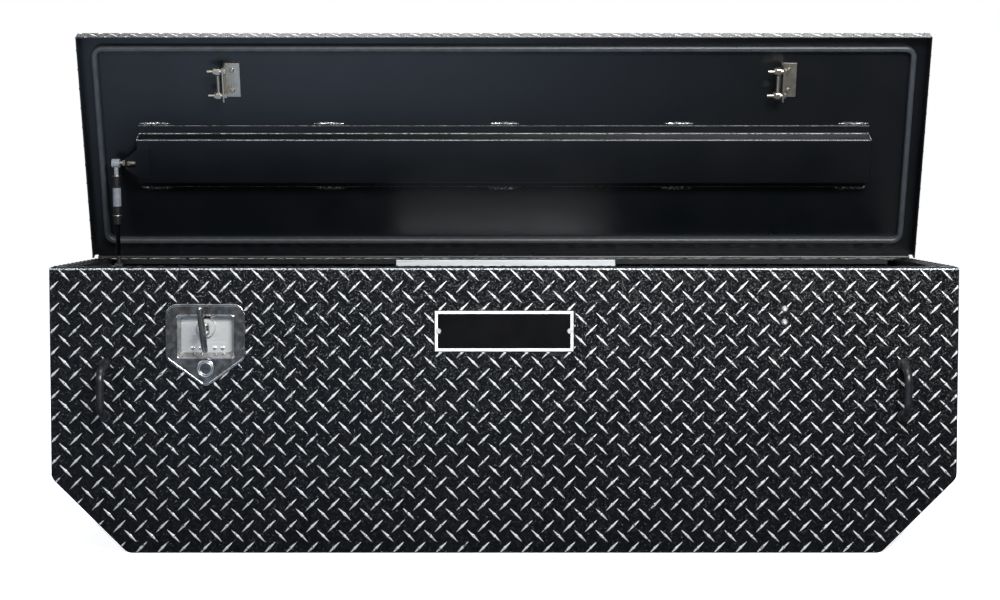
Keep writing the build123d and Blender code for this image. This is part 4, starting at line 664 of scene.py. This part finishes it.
# The lid's outside: its top, with the screws of the strikers, its front flange and side flanges
strikerScrews = {"xs": (-492.75, 516.25), "ys": (-360.5, -322.5), "radius": 6.2}
flangeStarts = {"front": (-738.0, 0.0), "right": (-20.0, 0.0), "left": (20.0, 0.0)}
lidHalf = lid["half"] - edgeGap
flangeLow, flangeHigh = lid["tip"] + margins["lidTip"], lid["top"] - edgeGap
lidOutline = rectangle(-lidHalf, lid["front"] + edgeGap, lidHalf, lid["rear"] - edgeGap)
pressTread("treadLidTop", lidPoint(0, 0, lid["top"]), (1, 0, 0), lidY, lidOutline, "lid",
           [roundHole(x, y, strikerScrews["radius"]) for x in strikerScrews["xs"]
            for y in strikerScrews["ys"]])
flangeOutline = rectangle(-lidHalf, flangeLow, lidHalf, flangeHigh)
pressTread("treadLidFront", lidPoint(0, lid["front"], 0), (1, 0, 0), lidZ, flangeOutline, "lid",
           start=flangeStarts["front"])
sideFlange = rectangle(lid["front"] + edgeGap, flangeLow, lid["rear"] - margins["lidRear"], flangeHigh)
pressTread("treadLidRight", lidPoint(lid["half"], 0, 0), lidY, lidZ, sideFlange, "lid",
           start=flangeStarts["right"])
mirrored = [(-u, v) for u, v in reversed(sideFlange)]
pressTread("treadLidLeft", lidPoint(-lid["half"], 0, 0), -lidY, lidZ, mirrored, "lid",
           start=flangeStarts["left"])
print("lid tread pressed")

# Stitch welds of the stiffener: short beads of overlapping ripples
weld = {"length": 55.0, "radius": 3.5, "ripple": 2.4, "pitch": 320.0, "count": 5, "edges": (-255.0, -136.0),
        "stepsPerRipple": 3, "end": 0.3, "endSlope": 4, "low": 0.85, "crest": 0.22, "varies": (0.94, 1.06),
        "away": 2.6, "wander": 0.5, "wanderVaries": (0.4, 1), "sink": 0.2, "flatten": 0.9}


def makeWelds():
    bm = bmesh.new()
    for k in range(weld["count"]):
        middleX = (k - (weld["count"] - 1) / 2) * weld["pitch"]
        for y, away in zip(weld["edges"], (-1, 1)):
            steps = int(weld["length"] / weld["ripple"] * weld["stepsPerRipple"])
            rows = []
            for n in range(steps + 1):
                x = middleX + weld["length"] * (n / steps - 0.5)
                taper = min(1.0, weld["endSlope"] * min(n, steps - n) / steps + weld["end"])
                ripple = abs(math.sin(math.pi * n / weld["stepsPerRipple"]))
                radius = weld["radius"] * taper * (weld["low"] + weld["crest"] * ripple)
                radius *= random.uniform(*weld["varies"])
                shift = weld["wander"] * math.sin(n * 0.5) * random.uniform(*weld["wanderVaries"])
                row = []
                for angle in halfTurns(6):
                    across = away * (weld["away"] + shift) + radius * math.cos(angle)
                    up = lid["inside"] + weld["sink"] - radius * weld["flatten"] * math.sin(angle)
                    row.append(bm.verts.new(lidPoint(x, y + across, up) * mm))
                rows.append(row)
            joinRows(bm, rows)
            bm.faces.new(rows[0])
            bm.faces.new(rows[-1][::-1])
    bmesh.ops.recalc_face_normals(bm, faces=bm.faces)
    piece = newPiece("stiffenerWelds", bm, "weldBead", "lid", smooth=True)
    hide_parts("stitch_welds")


makeWelds()


# Bare nameplate: an enamelled field with a raised bright border, by the sizes of plate above
def makePlateBorder():
    bm = bmesh.new()
    rings = []
    outer, inner = plate["edge"], plate["edge"] + plate["border"]
    for inset, rise in ((outer, 0.0), (outer + plate["slope"], plate["rise"]),
                        (inner - plate["slope"], plate["rise"]), (inner, 0.0)):
        x, low, high = plate["half"] - inset, plate["low"] + inset, plate["high"] - inset
        rings.append([bm.verts.new((px * mm, (plate["face"] - rise) * mm, pz * mm))
                      for px, pz in ((-x, low), (x, low), (x, high), (-x, high))])
    joinRows(bm, rings, ringed=True)
    bmesh.ops.recalc_face_normals(bm, faces=bm.faces)
    newPiece("nameplateBorder", bm, "etchedAluminium", "box")


makePlateBorder()

# Pressed dimples along the pocket floor of the dish
dimple = {"xs": (-524.0, -510.5, -487.5, -474.0), "z": 345.0, "radius": 3.4, "rise": 0.9,
          "steps": (0.0, 0.35, 0.7)}


def makeDimples():
    bm = bmesh.new()
    for x in dimple["xs"]:
        rows = []
        for share in dimple["steps"]:
            radius = dimple["radius"] * (1 - share)
            rise = dimple["rise"] * math.sin(share * math.pi / 2)
            rows.append([bm.verts.new(((x + radius * math.cos(a)) * mm, (dish["floorY"] - rise) * mm,
                                       (dimple["z"] + radius * math.sin(a)) * mm)) for a in turns(16)])
        tip = bm.verts.new((x * mm, (dish["floorY"] - dimple["rise"]) * mm, dimple["z"] * mm))
        joinRows(bm, rows, ringed=True)
        crown = rows[-1]
        for k in range(len(crown)):
            bm.faces.new((crown[k], crown[(k + 1) % len(crown)], tip))
    bmesh.ops.recalc_face_normals(bm, faces=bm.faces)
    newPiece("pocketDimples", bm, "polishedStainless", "box", smooth=True)


makeDimples()

# Rolled lip round the pocket of the dish
lip = {"z": 365.4, "wide": 97.0, "high": 72.6, "corner": 6.0, "face": -211.5, "radius": 1.3, "rise": 0.8}


def makeLip():
    bm = bmesh.new()
    path = []
    for turn, (signX, signZ) in enumerate(((1, 1), (-1, 1), (-1, -1), (1, -1))):
        for k in range(7):
            angle = math.pi / 2 * (turn + k / 6)
            middleX = signX * (lip["wide"] / 2 - lip["corner"])
            middleZ = signZ * (lip["high"] / 2 - lip["corner"])
            path.append((middleX, middleZ, math.cos(angle), math.sin(angle)))
    rings = []
    for middleX, middleZ, outX, outZ in path:
        ring = []
        for angle in halfTurns(6):
            reach = lip["corner"] + lip["radius"] * math.cos(angle)
            ring.append(bm.verts.new(((dish["x"] + middleX + outX * reach) * mm,
                                      (lip["face"] - lip["rise"] * math.sin(angle)) * mm,
                                      (lip["z"] + middleZ + outZ * reach) * mm)))
        rings.append(ring)
    joinRows(bm, rings, looped=True)
    bmesh.ops.recalc_face_normals(bm, faces=bm.faces)
    newPiece("pocketLip", bm, "polishedStainless", "box", smooth=True)


makeLip()

# Rolled rings on the face of the key cylinder's case
caseRing = {"z": 312.1, "face": -214.5, "radii": (12.9, 10.1), "wide": 0.9, "rise": 0.7}


def makeCaseRings():
    bm = bmesh.new()
    for radius in caseRing["radii"]:
        rings = []
        for turn in turns(48):
            ring = []
            for angle in halfTurns(6):
                reach = radius + caseRing["wide"] * math.cos(angle)
                ring.append(bm.verts.new(((dish["x"] + reach * math.cos(turn)) * mm,
                                          (caseRing["face"] - caseRing["rise"] * math.sin(angle)) * mm,
                                          (caseRing["z"] + reach * math.sin(turn)) * mm)))
            rings.append(ring)
        joinRows(bm, rings, looped=True)
    bmesh.ops.recalc_face_normals(bm, faces=bm.faces)
    newPiece("caseRings", bm, "pressedAluminium", "box", smooth=True)


makeCaseRings()

# The strut's line, from the stud on the lid down to the stud on the wall
strut = {"top": lidPoint(-710, -191, -15), "foot": Vector((-710, 156.5, 468.6))}
strut["along"] = (strut["foot"] - strut["top"]).normalized()


def strutRow(bm, distance, radius, angles):  # points round the strut, that far down from its top
    sideways = Vector((1, 0, 0))
    out = strut["along"].cross(sideways)
    return [bm.verts.new((strut["top"] + strut["along"] * distance
                          + (sideways * math.cos(a) + out * math.sin(a)) * radius) * mm) for a in angles]


# Blank label sleeve on the strut's tube, open at its seam. The seam's angles are in degrees.
label = {"start": 45.0, "length": 34.0, "radius": 7.62, "from": -90, "to": 195, "step": 5}


def makeLabel():
    bm = bmesh.new()
    angles = [math.radians(a) for a in range(label["from"], label["to"] + 1, label["step"])]
    joinRows(bm, [strutRow(bm, distance, label["radius"], angles)
                  for distance in (label["start"], label["start"] + label["length"])])
    bmesh.ops.recalc_face_normals(bm, faces=bm.faces)
    newPiece("strutLabel", bm, "coatedPaper", "strut_tube", smooth=True)


makeLabel()

# Bright crimped rings at the two ends of the strut's tube
crimp = {"places": (23.2, 96.2), "width": 1.5, "radius": 8.25, "bulge": 0.35}


def makeCrimps():
    bm = bmesh.new()
    for place in crimp["places"]:
        rows = []
        for share in (-1, -0.5, 0, 0.5, 1):
            radius = crimp["radius"] + crimp["bulge"] * (1 - share * share)
            rows.append(strutRow(bm, place + share * crimp["width"] / 2, radius, turns(32)))
        joinRows(bm, rows, ringed=True)
    bmesh.ops.recalc_face_normals(bm, faces=bm.faces)
    newPiece("strutCrimps", bm, "zincPlatedSteel", "strut_tube", smooth=True)


makeCrimps()
print("small pieces made")

# Camera, fitted to the photograph's outline: it looks slightly down, in degrees
view = {"place": (-0.00697, -3.7912, 0.6205), "down": 3.09, "lens": 77.06, "sensor": 36.0, "farthest": 60}
camera = bpy.data.objects.new("camera", bpy.data.cameras.new("camera"))
bpy.context.scene.collection.objects.link(camera)
camera.location = view["place"]
camera.rotation_euler = (math.radians(90 - view["down"]), 0, 0)
camera.data.lens = view["lens"]
camera.data.sensor_width = view["sensor"]
camera.data.clip_end = view["farthest"]
bpy.context.scene.camera = camera

# Pale floor: seen straight it is nearly white and keeps the box's shadow. What the coats and
# metals mirror of it is a painted reflection: the floor itself glows, only for reflections, as a pool
# of cool light in front of the box on a dark floor.
studio = {"floor": "#D5DFEC", "glow": 0.86, "floorSize": 14.0, "below": 0.0002,
          "pool": (0.92, 1.17, 1.56, 1), "away": (0.1, 0.105, 0.11, 1), "poolPlace": (-0.5, -1.25),
          "poolSize": (1.3, 1.1)}


def makeFloor():
    bm = bmesh.new()
    bmesh.ops.create_grid(bm, x_segments=1, y_segments=1, size=studio["floorSize"])
    mesh = bpy.data.meshes.new("studioFloor")
    bm.to_mesh(mesh)
    bm.free()
    floor = bpy.data.objects.new("studioFloor", mesh)
    bpy.context.scene.collection.objects.link(floor)
    floor.location.z = -studio["below"]
    material = bpy.data.materials.new("paleFloor")
    material.use_nodes = True
    tree = material.node_tree
    tree.nodes.clear()
    path = addNode(tree, "ShaderNodeLightPath")
    matt = addNode(tree, "ShaderNodeBsdfDiffuse", {"Color": colour(studio["floor"])})
    glow = addNode(tree, "ShaderNodeEmission", {"Color": (1, 1, 1, 1), "Strength": studio["glow"]})
    both = addNode(tree, "ShaderNodeAddShader", {}, {0: matt.outputs[0], 1: glow.outputs[0]})
    seen = addNode(tree, "ShaderNodeMath", {"operation": "MAXIMUM"},
                   {0: path.outputs["Is Camera Ray"], 1: path.outputs["Is Transmission Ray"]})
    straight = addNode(tree, "ShaderNodeMixShader", {},
                       {0: seen.outputs[0], 1: matt.outputs[0], 2: both.outputs[0]})
    where = addNode(tree, "ShaderNodeTexCoord")
    (poolX, poolY), (spreadX, spreadY) = studio["poolPlace"], studio["poolSize"]
    moved = addNode(tree, "ShaderNodeMapping", {"Location": (-poolX / spreadX, -poolY / spreadY, 0),
                                                "Scale": (1 / spreadX, 1 / spreadY, 1)},
                    {"Vector": where.outputs["Object"]})
    pool = addNode(tree, "ShaderNodeTexGradient", {"gradient_type": "SPHERICAL"},
                   {"Vector": moved.outputs["Vector"]})
    edge = addNode(tree, "ShaderNodeMapRange", {"interpolation_type": "SMOOTHSTEP"},
                   {"Value": pool.outputs["Fac"]})
    # painted reflection: the glowing pool and the dark floor round it, seen only in reflections
    tone = addNode(tree, "ShaderNodeMix", {"data_type": "RGBA", mixFrom: studio["away"],
                                           mixTo: studio["pool"]}, {0: edge.outputs["Result"]})
    mirrored = addNode(tree, "ShaderNodeEmission", {}, {"Color": tone.outputs[mixOut]})
    mixed = addNode(tree, "ShaderNodeMixShader", {},
                    {0: path.outputs["Is Glossy Ray"], 1: straight.outputs[0], 2: mirrored.outputs[0]})
    addNode(tree, "ShaderNodeOutputMaterial", {}, {"Surface": mixed.outputs[0]})
    mesh.materials.append(material)


makeFloor()

# The room: white where the camera looks, and for reflections pale behind the box and darker
# on the camera's side
room = {"white": 1.0, "fill": 0.22, "behind": 0.35, "near": 0.13, "gradeFrom": -0.2, "gradeTo": 0.5}


def makeRoom():
    world = bpy.data.worlds.new("studioRoom")
    bpy.context.scene.world = world
    world.use_nodes = True
    tree = world.node_tree
    tree.nodes.clear()
    path = addNode(tree, "ShaderNodeLightPath")
    towards = addNode(tree, "ShaderNodeTexCoord")
    split = addNode(tree, "ShaderNodeSeparateXYZ", {}, {0: towards.outputs["Generated"]})
    grade = addNode(tree, "ShaderNodeMapRange", {"From Min": room["gradeFrom"], "From Max": room["gradeTo"],
                                                 "To Min": room["near"], "To Max": room["behind"]},
                    {"Value": split.outputs["Y"]})
    mirror = addNode(tree, "ShaderNodeMath", {"operation": "MAXIMUM"},
                     {0: path.outputs["Is Glossy Ray"], 1: path.outputs["Is Transmission Ray"]})
    level = addNode(tree, "ShaderNodeMix", {"data_type": "FLOAT", levelFrom: room["fill"]},
                    {0: mirror.outputs[0], levelTo: grade.outputs["Result"]})
    whole = addNode(tree, "ShaderNodeMix", {"data_type": "FLOAT", levelTo: room["white"]},
                    {0: path.outputs["Is Camera Ray"], levelFrom: level.outputs[levelOut]})
    sky = addNode(tree, "ShaderNodeBackground", {"Color": (1, 1, 1, 1)},
                  {"Strength": whole.outputs[levelOut]})
    addNode(tree, "ShaderNodeOutputWorld", {}, {"Surface": sky.outputs[0]})


makeRoom()

# White lamps: places and sizes in metres, power in watts
lamps = {
    "keyLamp": {"place": (0.8, -2.7, 1.9), "aim": (0, 0, 0.35), "size": (1.4, 0.8), "power": 195},
    "fillLamp": {"place": (-2.2, -2.6, 1.5), "aim": (0, 0, 0.35), "size": (1.0, 1.4), "power": 20},
    "topLamp": {"place": (0, -0.2, 2.9), "aim": (0, 0, 0.3), "size": (2.6, 1.4), "power": 45},
    "backLamp": {"place": (0.5, 2.4, 2.3), "aim": (0, 0, 0.8), "size": (3.4, 1.4), "power": 42},
    "rimLamp": {"place": (0.2, 1.6, 3.1), "aim": (0, -0.2, 0.48), "size": (3.0, 0.8), "power": 45},
}
for name, lamp in lamps.items():
    light = bpy.data.lights.new(name, "AREA")
    light.shape = "RECTANGLE"
    light.size, light.size_y = lamp["size"]
    light.energy = lamp["power"]
    holder = bpy.data.objects.new(name, light)
    bpy.context.scene.collection.objects.link(holder)
    holder.location = lamp["place"]
    holder.rotation_euler = (Vector(lamp["aim"]) - holder.location).to_track_quat("-Z", "Y").to_euler()
bpy.context.scene.view_settings.view_transform = "Standard"
print("studio set")
